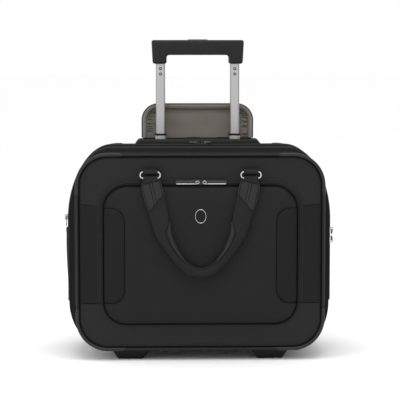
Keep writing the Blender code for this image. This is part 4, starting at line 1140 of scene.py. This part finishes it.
# %% Handle helpers
STRAP_STOPS = np.array([  # x, distance from the wall's plane, z, width, thickness
    (79.2, 10.6, 288.6, 24.0, 4.6), (77.6, 11.4, 281.0, 30.6, 4.6), (72.5, 15.4, 259.0, 31.2, 4.8),
    (67.2, 16.6, 240.0, 30.0, 5.4), (63.0, 18.0, 222.0, 28.0, 7.6), (58.2, 19.0, 204.5, 24.8, 10.2),
    (49.5, 19.6, 186.0, 19.8, 11.8), (38.0, 20.0, 168.0, 16.8, 12.8), (28.0, 20.0, 155.4, 15.8, 13.2),
    (15.0, 20.0, 145.6, 15.4, 13.2), (0.0, 20.0, 141.8, 15.2, 13.2)]) * mm


def through(stops, count):
    """A smooth curve through stops: cubic pieces whose slope at a stop is that between its neighbours."""
    ends = np.concatenate([[2 * stops[0] - stops[1]], stops, [2 * stops[-1] - stops[-2]]])
    t = np.linspace(0, len(stops) - 1.000001, count)
    i, t = t.astype(int), (t % 1)[:, None]
    a, b, c, d = ends[i], ends[i + 1], ends[i + 2], ends[i + 3]
    return 0.5 * (2 * b + (c - a) * t + (2 * a - 5 * b + 4 * c - d) * t**2 + (3 * b - a - 3 * c + d) * t**3)


def strap_frame(face, count=260):
    """Centre line, outward side, face direction, half width and half thickness, from the left ring to the right."""
    left = STRAP_STOPS * np.array([-1, 1, 1, 1, 1])
    stops = np.concatenate([left, STRAP_STOPS[-2::-1]])
    rows = through(stops, count)
    centre = np.stack([rows[:, 0], face * (96 * mm + rows[:, 1]), rows[:, 2]], -1)
    run = heading(centre)
    side = across_path(run)
    side /= np.linalg.norm(side, axis=1, keepdims=True)
    return centre, side, np.cross(run, side) * -1.0, rows[:, 3] / 2, rows[:, 4] / 2


def signed_power(value, power):
    return np.sign(value) * np.abs(value) ** power


def reach_in(count):
    """How far each row lies from the nearer end of the strap: 0 at a ring, 1 at the bottom."""
    return np.minimum(np.arange(count), np.arange(count)[::-1])[:, None] / (count / 2)


def fold_angle(reach):
    """Where the folded edge lies round the strap: it starts at the inner side and moves to the front."""
    forward = ease((reach - 0.36) / 0.16) * (1 - 0.65 * ease((reach - 0.62) / 0.3))
    return np.pi - (0.10 + 1.15 * forward)


def strap_surface(face, angle, grow=0.0, count=260):
    """The strap's surface at angles round it: a squared oval, less the groove of the fold."""
    centre, side, front, half_width, half_depth = strap_frame(face, count)
    if front[count // 2, 1] * face < 0:
        front = -front
    angle = np.atleast_2d(angle)
    reach = reach_in(count)
    folded = ease((reach - 0.36) / 0.10)
    groove_at = fold_angle(reach)
    groove = 1.7 * mm * folded * np.exp(-(((angle - groove_at) / 0.17) ** 2))
    lip = 0.7 * mm * folded * np.exp(-(((angle - groove_at - 0.42) / 0.25) ** 2))
    wrinkle = 0.25 * mm * unevenness(reach * 0.3, angle * 0.01, 21, 0.03)
    square = 0.55 + 0.45 * ease((reach - 0.3) / 0.4)
    a = (half_width[:, None] + grow) * signed_power(np.cos(angle), square)
    b = (half_depth[:, None] + grow) * signed_power(np.sin(angle), 0.5 + 0.5 * square)
    shrink = 1 - (groove - lip - wrinkle) / np.maximum(np.hypot(a, b), 3 * mm)
    return centre[:, None] + side[:, None] * (a * shrink)[..., None] + front[:, None] * (b * shrink)[..., None]


def make_strap(word, face, on):
    """The strap, the coated lining that shows inside its fold, and a fine near-black cord of painted shade along the
    folded edge.
    """
    strap = tube(f"{word}_strap", strap_surface(face, np.linspace(0, 2 * np.pi, 72, endpoint=False)))
    settle(strap, on, WEBBING, (f"{word}_handle_strap",))
    reach = reach_in(260)
    start = fold_angle(reach) + 0.16
    angle = start + (np.pi + 0.4 - start) * ease((0.82 - reach) / 0.3) * np.linspace(0, 1, 10)[None]
    outer, under = (strap_surface(face, angle, grow) for grow in (0.3 * mm, -0.4 * mm))
    lining_rows = np.flatnonzero((reach[:, 0] > 0.41) & (reach[:, 0] < 0.78))
    for label, rows in (("left", lining_rows[lining_rows < 130]), ("right", lining_rows[lining_rows >= 130])):
        settle(skin(f"{word}_strap_lining_{label}", outer[rows], under[rows]), on, TAB_LEATHER)
        # Painted shade: a near-black cord in the fold's groove
        fold = strap_surface(face, fold_angle(reach) - 0.06, -0.1 * mm)[rows[0] - 5:rows[-1] + 6, 0]
        fine_cord(f"{word}_strap_fold_shade_{label}", fold, 0.55 * mm, on)


def tab_points(face, side_sign, lift, count=34, across=17):
    """A patch over the strap's front from just under the ring to a slanted end, lower on the outside."""
    centre, side, front, half_width, half_depth = strap_frame(face, 520)
    front = front if front[260, 1] * face > 0 else -front
    a = np.linspace(-1, 1, across)[None]
    tab_top, inner_low, outer_low = 284.5 * mm, 261.0 * mm, 240.0 * mm
    first, inner_end, outer_end = (np.argmin(np.abs(centre[:260, 2] - z)) for z in (tab_top, inner_low, outer_low))
    last = inner_end + (outer_end - inner_end) * (a + 1) / 2
    row = first + (last - first) * np.linspace(0, 1, count)[:, None]
    if side_sign > 0:
        row = 519 - row
    at = np.clip(np.round(row).astype(int), 0, 519)
    share = row - at

    def pick(values):
        step = np.gradient(values, axis=0)
        return values[at] + step[at] * share.reshape(share.shape + (1,) * (values.ndim - 1))

    reach = np.abs(a)
    half = np.maximum(pick(half_width), 13.2 * mm) + 0.5 * mm
    depth = (pick(half_depth) * (1 - reach**5) ** 0.5 + lift) * np.ones_like(row)
    return pick(centre) + pick(side) * (half * a)[..., None] + pick(front) * depth[..., None]


def make_tab(word, face, side_sign, label, on):
    """The coated tab over the strap, with a raised border and two creases down its middle; the border line and the
    creases are near-black cords of painted shade.
    """
    outer = tab_points(face, side_sign, 0.55 * mm)
    raised = tab_points(face, side_sign, 1.0 * mm)
    puffed = ease(np.minimum(np.arange(34), np.arange(34)[::-1])[:, None] / 2.5) * np.ones((1, 17))
    outer = outer + (raised - outer) * puffed[..., None]
    tab = skin(f"{word}_tab_{label}", outer, tab_points(face, side_sign, -0.5 * mm))
    settle(tab, on, TAB_LEATHER)
    # Painted shade: near-black cords round the border and down the creases
    lines = tab_points(face, side_sign, 0.95 * mm, 60, 101)
    border = np.concatenate([lines[3:-3, 7], lines[-3, 8:93], lines[3:-3, 93][::-1], lines[2, 8:93][::-1]])
    fine_cord(f"{word}_tab_border_shade_{label}", border, 0.34 * mm, on, closed=True)
    for place, column in (("outer", 44), ("inner", 57)):
        fine_cord(f"{word}_tab_crease_{place}_{label}", lines[3:-3, column], 0.34 * mm, on)


def webbing_loop(name, x, face, path, on, width=23.6 * mm):
    """A strip of webbing that follows a path in (distance from the middle, z), 1.5 mm thick, with rounded sides."""
    path = np.asarray(path) * mm
    run = heading(path)
    normal = np.stack([run[:, 1], -run[:, 0]], -1)
    a = np.linspace(-1, 1, 15)
    bulge = 0.75 * mm * (1 - np.abs(a) ** 8) ** 0.5 + 0.08 * mm
    grids = []
    for sign in (1, -1):
        place = path[:, None] + sign * normal[:, None] * bulge[None, :, None]
        xs = np.broadcast_to(x + a * width / 2, place.shape[:2])
        grids.append(np.stack([xs, face * place[..., 0], place[..., 1]], -1))
    return settle(skin(name, *grids), on, WEBBING)


def around(centre, radius, start, end, count=16):
    """Points on an arc in (distance, z), angles in degrees from outwards, upwards positive."""
    angle = np.radians(np.linspace(start, end, count))
    return [(centre[0] + radius * math.cos(t), centre[1] + radius * math.sin(t)) for t in angle]


def oval_ring(name, x, face, on, replaces):
    """The ring's wire: a circle carried round an oval; the ring hangs flat, facing out from the wall."""
    turn = np.linspace(0, 2 * np.pi, 72, endpoint=False)
    straight, end = 10.85 * mm, 4.9 * mm  # half the straight side, and the radius of the round ends
    bent = (np.maximum(np.abs(np.cos(turn)) - 0.4545, 0) / 0.5455) ** 0.62
    cx = np.clip(np.cos(turn) * 2.2, -1, 1) * straight + end * np.sign(np.cos(turn)) * bent
    ratio = np.maximum(np.abs(cx) - straight, 0) / end
    cz = end * np.sign(np.sin(turn)) * np.sqrt(np.maximum(1 - ratio**2, 0))
    centre = np.stack([x + cx, np.full_like(cx, face * ring_y * mm), 296 * mm + cz], -1)
    grid = wire(centre, across_path(heading(centre, True)), 1.3 * mm, 14)
    settle(tube(name, grid, close_rows=True), on, NICKEL, replaces)


# %% Both handles
def make_handle(word, face, wall_body):
    """One carry handle: the strap and loops swing with the rings, and the anchors stay on the wall."""
    swing = f"{word}_handle"
    make_strap(word, face, swing)
    for side_sign, label in ((-1, "left"), (1, "right")):
        x = side_sign * ring_x
        make_tab(word, face, side_sign, label, swing)
        oval_ring(f"{word}_ring_{label}", x, face, swing, (f"{word}_handle_ring_{label}",))
        upper, lower = (ring_y, 300.9), (ring_y, 291.1)
        held = [(96.9, 306.0), (97.2, 304.6), (99.5, 304.0), (102.5, 303.8), *around(upper, 2.75, 95, -95),
                (102.5, 298.0), (99.5, 297.6), (97.2, 296.6), (96.9, 295.0)]
        loop = webbing_loop(f"{word}_anchor_{label}", x, face, held, wall_body)
        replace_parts(loop, f"{word}_handle_anchor_{label}")
        hung = [(108.6, 281.5), (109.2, 285.5), *around(lower, 2.75, -8, 188), (103.9, 285.5), (104.6, 281.5)]
        webbing_loop(f"{word}_loop_{label}", x, face, hung, swing, 22.6 * mm)


make_handle("front", -1, "cover")
make_handle("rear", 1, "case")

# %% [markdown]
# ## The lined flap
# The flap that covers the stowed handle stands open behind the tubes, so its inside shows: a greige lining
# gathered into a lighter rim. It is one shallow bowl whose edges come forward; the seam between lining and rim
# is a groove, and beside it the lining is ruched, which is a sine along the seam that fades away from it.

# %% The flap
def flap_edge_distance(x, z):
    """How far a point lies inside the flap's sides and top; its bottom counts as open."""
    return inside(x, z, flap_half, 250 * mm, flap_top, flap_corner)


def flap_grid():
    """Rows from the hinge to the rim that bend from straight lines at the bottom to the rounded outline on top."""
    t = np.linspace(0, 1, 64)[:, None]
    s = np.linspace(-1, 1, 131)[None]
    x = flap_half * np.sin(s * np.pi / 2) * np.ones_like(t)
    over = np.clip(np.abs(x) - (flap_half - flap_corner), 0, flap_corner)
    lid = flap_top - flap_corner + np.sqrt(np.maximum(flap_corner**2 - over**2, 0))
    return x, flap_low + (lid - flap_low) * (1 - (1 - t) ** 1.5)


def rim_sag(x, z, depth):
    """The rim band is wider in the middle of the flap's top by this much."""
    return depth * np.cos(np.pi * x / (150 * mm)) * (z > 0.38)


def make_flap():
    """Two skins back to back: the ruched lining in front and the body's cloth behind."""
    x, z = flap_grid()
    d = flap_edge_distance(x, z)
    seam_at = 9.0 * mm + rim_sag(x, z, 1.6 * mm)
    forward = flap_bowl * (1 - ease(d / (15 * mm)))
    seam = 1.5 * mm * np.exp(-(((d - seam_at) / (1.3 * mm)) ** 2))
    beside = np.exp(-(((d - seam_at - 3.5 * mm) / (4.2 * mm)) ** 2)) * (np.abs(x) > 62 * mm)
    rng = np.random.default_rng(4)
    beat = z / (6.4 * mm) + 1.2 * unevenness(z, x * 0.2, 31, 0.03) + rng.uniform(0, 1)
    ruche = 1.25 * mm * beside * np.sin(2 * np.pi * beat) * (1 - ease((z - 0.385) / 0.012))
    slack = 0.9 * mm * unevenness(x, z * 1.6, 33, 0.07) * ease((d - 6 * mm) / (12 * mm))
    y = np.minimum(flap_y - forward + seam + ruche + slack, 89.4 * mm)
    front = np.stack([x, y, z], -1)
    behind = front.copy()
    behind[..., 1] = 91.2 * mm - forward * 0.9 + 0.4 * mm * unevenness(x, z, 35, 0.08)
    behind[..., 1] = np.maximum(behind[..., 1], front[..., 1] + 0.8 * mm)
    middle = (front + behind) / 2
    lining = skin("flap_lining", front, middle + np.array([0, -0.05 * mm, 0]))
    settle(lining, "flap", LINING, ("handle_flap",))
    shell = skin("flap_cloth", behind, middle + np.array([0, 0.05 * mm, 0]))
    settle(shell, "flap", BODY_CLOTH)


make_flap()
print("flap is", round(2 * flap_half / mm, 1), "mm wide")


def rim_path(inset, count=240):
    """The flap's edge from the left hinge corner over the top to the right one, moved inwards."""
    f = np.linspace(0, 1, 4000)
    loop = outline(flap_half - inset, 250 * mm, flap_top - inset, (1 * mm, flap_corner - inset), 0, f)[0]
    loop = loop[loop[:, 2] > 345.4 * mm]
    s = way_gone(loop)
    return points_at(np.linspace(0, s[-1], count), s, loop)


def make_flap_trim():
    """A light rim band over the bowl's edge, and a black binding round the very edge."""
    insets = np.array([0.6, 1.5, 3.5, 6.0, 7.6, 8.3]) * mm
    lifts = np.array([-0.2, 0.5, 0.8, 0.8, 0.5, -0.3]) * mm
    rows = np.stack([rim_path(i) for i in insets])
    sag = rim_sag(rows[..., 0], rows[..., 2], 1.6 * mm)
    rows[..., 2] -= sag * (insets / (8.3 * mm))[:, None]
    d = flap_edge_distance(rows[..., 0], rows[..., 2])
    ground = flap_y - flap_bowl * (1 - ease(d / (15 * mm)))
    outer, under = rows.copy(), rows.copy()
    outer[..., 1] = ground - lifts[:, None]
    under[..., 1] = ground + 0.5 * mm
    settle(skin("flap_rim", outer, under), "flap", LINING_RIM)
    edge = rim_path(-0.2 * mm)
    edge[:, 1] = 81.9 * mm
    grid = wire(edge, -across_path(heading(edge)), 1.0 * mm, 12, (0, 2.1, 0))
    settle(tube("flap_binding", grid), "flap", PIPING)
    hinge = np.stack([np.linspace(-91, 91, 80) * mm, np.full(80, 89.6 * mm), np.full(80, flap_low)], -1)
    fine_cord("flap_hinge_roll", hinge, 0.95 * mm, "flap", PIPING)


make_flap_trim()

# %% [markdown]
# ## The side pocket
# A slim cloth pocket stands on the left side under its own short zip. It is one skin over the side's curve,
# fullest near its bound top edge and flat where it is sewn down.

# %% Side pocket
def on_left(y, z, height):
    """A point on the left side of the body, raised by a height."""
    y, z, height = np.broadcast_arrays(y, z, height)
    return np.stack([-(body_half(y) + height), y, z], -1)


def make_side_pocket():
    """One skin over the side: a swell that is a half sine across it, slow folds and a raised hem."""
    y = np.linspace(-8, 62, 45)[None] * mm
    z = (95 + 106 * (1 - (1 - np.linspace(0, 1, 60)) ** 1.3))[:, None] * mm
    across = np.sin(np.pi * (y + 8 * mm) / (70 * mm))
    up = (z - 95 * mm) / (106 * mm)
    swell = 4.5 * mm * np.sqrt(np.maximum(across, 0)) * np.sin(0.5 * np.pi * np.minimum(1, 1.25 * up))
    folds = 0.35 * mm * unevenness(y * 1.5, z, 41, 0.06) * across
    hem = 0.5 * mm * ease((up - 0.93) / 0.03)
    height = (0.55 * mm + swell + folds + hem) * ease(up / 0.02) + 0.2 * mm
    outer = on_left(y, z, height)
    pocket = skin("side_pocket_cloth", outer, on_left(y, z, np.full(height.shape, -0.4 * mm)))
    settle(pocket, "case", SIDE_CLOTH, ("side_pocket",))


make_side_pocket()


def left_rows(offset, height, f):
    """Rows of the strip above the side pocket; offset is upwards."""
    return on_left(-12 * mm + 80 * mm * f, 220.5 * mm + offset, height)[None]


strip("side_pocket_tape", left_rows, whole_tape * 0.8, whole_height, np.linspace(0, 1, 60), "case")
f = np.linspace(0.01, 0.99, 260)
zip_line = left_rows(0, 0.5 * mm, f)[0]
coil("side_pocket_coil", zip_line, np.broadcast_to(np.array([0.0, 0.0, 1.0]), zip_line.shape),
     np.broadcast_to(np.array([-1.0, 0.0, 0.0]), zip_line.shape), (-1, 1), "case")
print("side pocket sewn")

# %% [markdown]
# ## Inside: the laptop sleeve
# The sleeve is foam between lining cloths, quilted in bands, open at its top. It is a cup: the same rounded
# rectangle at every height, run down to a pole in the middle of its floor, with a second cup inside it.

# %% Laptop sleeve
def level_loop(half, low_y, high_y, corner, z, f):
    """A rounded rectangle lying flat at each height z."""
    loop = outline(half, low_y, high_y, (corner, corner), z, f)
    return loop[..., (0, 2, 1)]


def make_sleeve():
    """Two cups, one in the other, with a quilted outside; a binding runs round the mouth."""
    f = np.linspace(0, 1, 220, endpoint=False)
    z = np.linspace(26, 261, 60) * mm
    grids = []
    for inset in (0.0, 2.6 * mm):
        loops = level_loop(128 * mm - inset, 25.2 * mm + inset, 46.8 * mm - inset, 7 * mm - inset, z, f)
        if inset == 0:
            bands = 0.5 + 0.5 * np.cos(2 * np.pi * (loops[..., 2] - 26 * mm) / (39 * mm))
            loops[..., 1] += np.sign(36 * mm - loops[..., 1]) * 0.9 * mm * bands**6
        floor = []
        for share in (0.0, 0.5, 0.9, 0.99):
            middle = np.array([0, 36 * mm, 24.3 * mm + inset])
            row = middle + (loops[0] - middle) * share
            row[:, 2] = 24.3 * mm + inset
            floor.append(row)
        grids.append(np.concatenate([np.array(floor), loops]))
    sleeve = skin("sleeve_pad", grids[0], grids[1], True)
    settle(sleeve, "case", LINING, ("laptop_sleeve",))
    edge = level_loop(126.7 * mm, 26.5 * mm, 45.5 * mm, 6 * mm, 261 * mm, f)[0]
    out = level_loop(127.7 * mm, 25.5 * mm, 46.5 * mm, 7 * mm, 261 * mm, f)[0] - edge
    grid = wire(edge, out / mm, 1.7 * mm, 10, (0, 0, 1.5 / 1.7))
    settle(tube("sleeve_binding", grid, close_rows=True), "case", PIPING)


make_sleeve()
print("sleeve sewn")

# %% [markdown]
# ## Hard parts
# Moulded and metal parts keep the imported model's shape. A CAD mesh is loose triangles, so a copy is merged, its
# flat facets are joined again, its edges get a small round, and it is shaded smooth; the copy stands for the
# node. Parts that hide inside keep their node and only take a finish.

# %% Refine CAD nodes
def refine(node, on, material, bevel=0.35 * mm, angle=38, sharp=32):
    """A merged, beveled, smooth copy of a CAD node."""
    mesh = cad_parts[node].data.copy()
    with editing(mesh) as shape:
        bmesh.ops.remove_doubles(shape, verts=shape.verts, dist=2e-6)
        bmesh.ops.dissolve_limit(shape, angle_limit=math.radians(0.8), verts=shape.verts, edges=shape.edges)
    mesh.materials.clear()
    for layer in list(mesh.attributes):
        if layer.name in ("custom_normal", "sharp_face"):
            mesh.attributes.remove(layer)
    copy = add_object(f"{node}_finished", mesh)
    if bevel:
        step = copy.modifiers.new("round", "BEVEL")
        step.width, step.segments, step.limit_method = bevel, 2, "ANGLE"
        step.angle_limit, step.use_clamp_overlap = math.radians(angle), True
        bake_modifiers(copy)
    shade(copy.data, sharp)
    return settle(copy, on, material, (node,))


def keep(node, material):
    """A CAD node that stays as it is and takes a finish."""
    node_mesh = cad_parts[node].data
    node_mesh.materials.clear()
    node_mesh.materials.append(material)


refine("grip", "inner_stage", GRIP, 1.1 * mm, 40, 60)
refine("release_button", "button", BUTTON, 0.5 * mm)
refine("handle_well", "case", PLASTIC, 0.6 * mm)
stages = (("outer", "case"), ("lower", "lower_stage"), ("middle", "middle_stage"), ("inner", "inner_stage"))
for label in ("left", "right"):
    for stage, on in stages:
        refine(f"{stage}_tube_{label}", on, ALUMINIUM, 0)
    refine(f"middle_collar_{label}", "middle_stage", PLASTIC, 0.3 * mm)
    refine(f"wheel_housing_{label}", "case", PLASTIC, 0.8 * mm)
    refine(f"wheel_tyre_{label}", f"wheel_{label}", TYRE, 0)
    refine(f"wheel_hub_{label}", f"wheel_{label}", HUB, 0.4 * mm)
    refine(f"front_foot_{label}", "case", PLASTIC, 0.8 * mm)
    keep(f"wheel_axle_{label}", STEEL)
    for zip_name in ("pocket", "top"):
        for part, rounding in (("slider", 0.5 * mm), ("puller", 0.35 * mm)):
            name = f"{zip_name}_{part}_{label}"
            refine(name, name, GUNMETAL, rounding)
for word in ("lower", "upper"):
    refine(f"side_slider_{word}", f"side_slider_{word}", NICKEL, 0.5 * mm)
    refine(f"side_puller_{word}", f"side_puller_{word}", PLASTIC, 0.35 * mm)
refine("side_pocket_slider", "side_pocket_slider", NICKEL, 0.5 * mm)
refine("side_pocket_puller", "side_pocket_puller", NICKEL, 0.35 * mm)
for node, material in (("lock_frame", STEEL), ("tube_bracket", PLASTIC), ("back_board", BOARD)):
    keep(node, material)
spring = refine("button_spring", "inner_stage", STEEL, 0)
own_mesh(spring)


def trim_puller(word, label, out, lip_up):
    """A bright lip along a puller's lower edge and a bright eye on its slider."""
    box = vertex_array(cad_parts[f"{word}_puller_{label}"])
    low, high = box.min(0), box.max(0)
    x = np.linspace(low[0] + 1.2 * mm, high[0] - 1.2 * mm, 30)
    lip = np.stack([x, np.full(30, low[1] if out == 1 else low[1] + 0.7 * mm), np.full(30, low[2] + lip_up)], -1)
    fine_cord(f"{word}_puller_lip_{label}", lip, 0.7 * mm, f"{word}_puller_{label}", NICKEL)
    box = vertex_array(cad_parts[f"{word}_slider_{label}"])
    middle, turn = (box.min(0) + box.max(0)) / 2, np.linspace(0, 2 * np.pi, 40, endpoint=False)
    eye = middle + 2.1 * mm * np.stack([1.25 * np.cos(turn), 0 * turn, np.sin(turn)], -1)
    if out == 1:
        eye[:, 1] = box[:, 1].min()
        fine_cord(f"{word}_slider_eye_{label}", eye, 0.55 * mm, f"{word}_slider_{label}", NICKEL, True)


for label in ("left", "right"):
    trim_puller("pocket", label, 1, 0.6 * mm)
    trim_puller("top", label, 0, 0.9 * mm)

# %% [markdown]
# ## Badge and rivets
# The badge is a plain oval: a dark dished field in a bright rim. Two rivets hold each inner tube to the grip.
# All of these are one profile carried round a circle or an oval.

# %% Turned parts
def turned(name, centre, across, up, out, profile, on, material, slot, steps=40, sharp=40):
    """A profile (radius share, height in metres) carried round an oval with half axes across and up."""
    angle = np.linspace(0, 2 * np.pi, steps, endpoint=False)
    circle = np.cos(angle)[:, None] * np.asarray(across) + np.sin(angle)[:, None] * np.asarray(up)
    rows = [np.asarray(centre) + circle * share + np.asarray(out) * height for share, height in profile]
    return settle(tube(name, np.array(rows), sharp=sharp), on, material)


badge = (0, -107.0 * mm, 231 * mm)
half_badge = ((8.6 * mm, 0, 0), (0, 0, 11 * mm), (0, -1, 0))
field = [(0.97, -0.6 * mm), (0.97, 0.35 * mm), (0.86, 0.5 * mm), (0.45, 0.75 * mm), (0.1, 0.85 * mm)]
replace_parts(turned("badge_field", badge, *half_badge, field, "cover", PLASTIC, "gunmetal", 56), "emblem")
ring_turn = np.linspace(0, 2 * np.pi, 14, endpoint=False)[None]
angle = np.linspace(0, 2 * np.pi, 72, endpoint=False)[:, None]
share, rim_y = 0.94 + 0.06 * np.cos(ring_turn), badge[1] - 0.75 * mm + 0.75 * mm * np.sin(ring_turn) + 0 * angle
rim = [8.9 * mm * np.cos(angle) * share, rim_y, badge[2] + 11.3 * mm * np.sin(angle) * share]
settle(tube("badge_rim", np.stack(rim, -1), close_rows=True), "cover", NICKEL)

head = [(1.0, -0.3 * mm), (1.0, 0.05 * mm), (0.85, 0.15 * mm), (0.5, 0.2 * mm), (0.1, 0.22 * mm)]
washer = [(1.0, -0.3 * mm), (1.0, 0.04 * mm), (0.9, 0.08 * mm), (0.1, 0.08 * mm)]
rivet_parts = (("rivet", 1.1 * mm, head, STEEL, "steel", 20), ("rivet_seat", 2.5 * mm, washer, PLASTIC, "plastic", 24))
for label, x in (("left", -tube_x), ("right", tube_x)):
    for word, z in (("upper", 460.6 * mm), ("lower", 451.6 * mm)):
        for way, y, facing in ((-1, 66.9 * mm, "front"), (1, 77.1 * mm, "rear")):
            for part, radius, profile, *finish in rivet_parts:
                axes = ((radius, 0, 0), (0, 0, radius), (0, way, 0))
                turned(f"{part}_{label}_{word}_{facing}", (x, y, z), *axes, profile, "inner_stage", *finish)

# %% [markdown]
# ## Stitching
# A lockstitch shows as short threads, one after the other, each a little sunk at its ends. One stitch is a
# capsule with a few dozen faces; a seam is that capsule copied to even steps along a path, worked out as one
# array, with a tiny seeded turn so that no two are quite alike.

# %% Stitches
def seam(name, paths, outs, on, pitch=3.4 * mm, size=0.30 * mm, material=THREAD):
    """Capsules along several paths; outs are the directions away from the cloth, one for each path point."""
    rng = np.random.default_rng(len(name))
    points, faces, first = [], [], 0
    along = np.array([-1.15, -1.0, -0.45, 0.45, 1.0, 1.15]) * mm
    thick = np.array([0.05, 0.7, 1.0, 1.0, 0.7, 0.05]) * size
    angle = np.linspace(0, 2 * np.pi, 6, endpoint=False)
    for path, out in zip(paths, outs):
        s = way_gone(path)
        at = np.arange(pitch, s[-1] - pitch / 2, pitch)
        if len(at) < 2:
            continue
        place = points_at(at, s, path)
        lift = points_at(at, s, np.broadcast_to(out, path.shape))
        ahead = points_at(at + 0.5 * mm, s, path) - place
        ahead /= np.maximum(np.linalg.norm(ahead, axis=1, keepdims=True), 1e-9)
        lift /= np.maximum(np.linalg.norm(lift, axis=1, keepdims=True), 1e-9)
        side = np.cross(ahead, lift)
        ahead = ahead + side * rng.normal(0, 0.05, (len(at), 1))
        grid = place[:, None, None] + ahead[:, None, None] * along[None, :, None, None]
        grid = grid + side[:, None, None] * (np.cos(angle)[None, None] * thick[None, :, None])[..., None]
        grid = grid + lift[:, None, None] * (0.7 * np.sin(angle)[None, None] * thick[None, :, None])[..., None]
        each = quads(6, 6, 0, False, True)
        faces.append((each[None] + first + 36 * np.arange(len(at))[:, None, None]).reshape(-1, 4))
        points.append(grid.reshape(-1, 3))
        first += 36 * len(at)
    mesh = bpy.data.meshes.new(name)
    mesh.from_pydata(np.concatenate(points).tolist(), [], np.concatenate(faces).tolist())
    with editing(mesh) as capsules:
        bmesh.ops.holes_fill(capsules, edges=[e for e in capsules.edges if e.is_boundary], sides=6)
    shade(mesh)
    return settle(add_object(name, mesh), on, material)


def gusset_line(y, height, low_z):
    """A path round the body at a depth, and its outward directions."""
    f = arc(y, low_z, 420)
    path = body(y, f, height)[0]
    return path, body(y, f, height + 1 * mm)[0] - path


def sew_gussets():
    """Rows beside each zip tape and each seam tape, as (depth, height over the cloth, lowest end) in millimetres."""
    rows = {
        "cover": ((-37.6, 0.95, 90), (-87.1, 0.35, 90)),
        "case": ((-22.4, 0.95, 90), (22.4, 0.95, 122), (37.6, 0.95, 122), (87.1, 0.35, 90)),
    }
    for on, places in rows.items():
        lines = [gusset_line(y * mm, height * mm, low * mm) for y, height, low in places]
        seam(f"{on}_gusset_stitches", *zip(*lines), on)


sew_gussets()
pocket_seam = pocket_rows(8.9 * mm, 1.15 * mm, np.linspace(0.01, 0.99, 300))[0]
seam("pocket_stitches", [pocket_seam], [toward], "cover")
for word, face, on in (("front", -1, "front_handle"), ("rear", 1, "rear_handle")):
    paths = []
    for side_sign in (-1, 1):
        tab = tab_points(face, side_sign, 1.02 * mm, 60, 101)
        paths += [tab[2:-2, 4], tab[2:-2, 96], tab[3:-3, 48], tab[3:-3, 53]]
    seam(f"{word}_tab_stitches", paths, [np.array([0.0, face, 0.0])] * len(paths), on, 2.9 * mm)
rim_line = rim_path(6.9 * mm, 300)
rim_line[:, 2] -= rim_sag(rim_line[:, 0], rim_line[:, 2], 1.3 * mm)
rim_line[:, 1] = flap_y - flap_bowl * (1 - ease(6.9 / 15)) - 0.75 * mm
seam("flap_stitches", [rim_line], [toward], "flap", material=TAB_LEATHER)
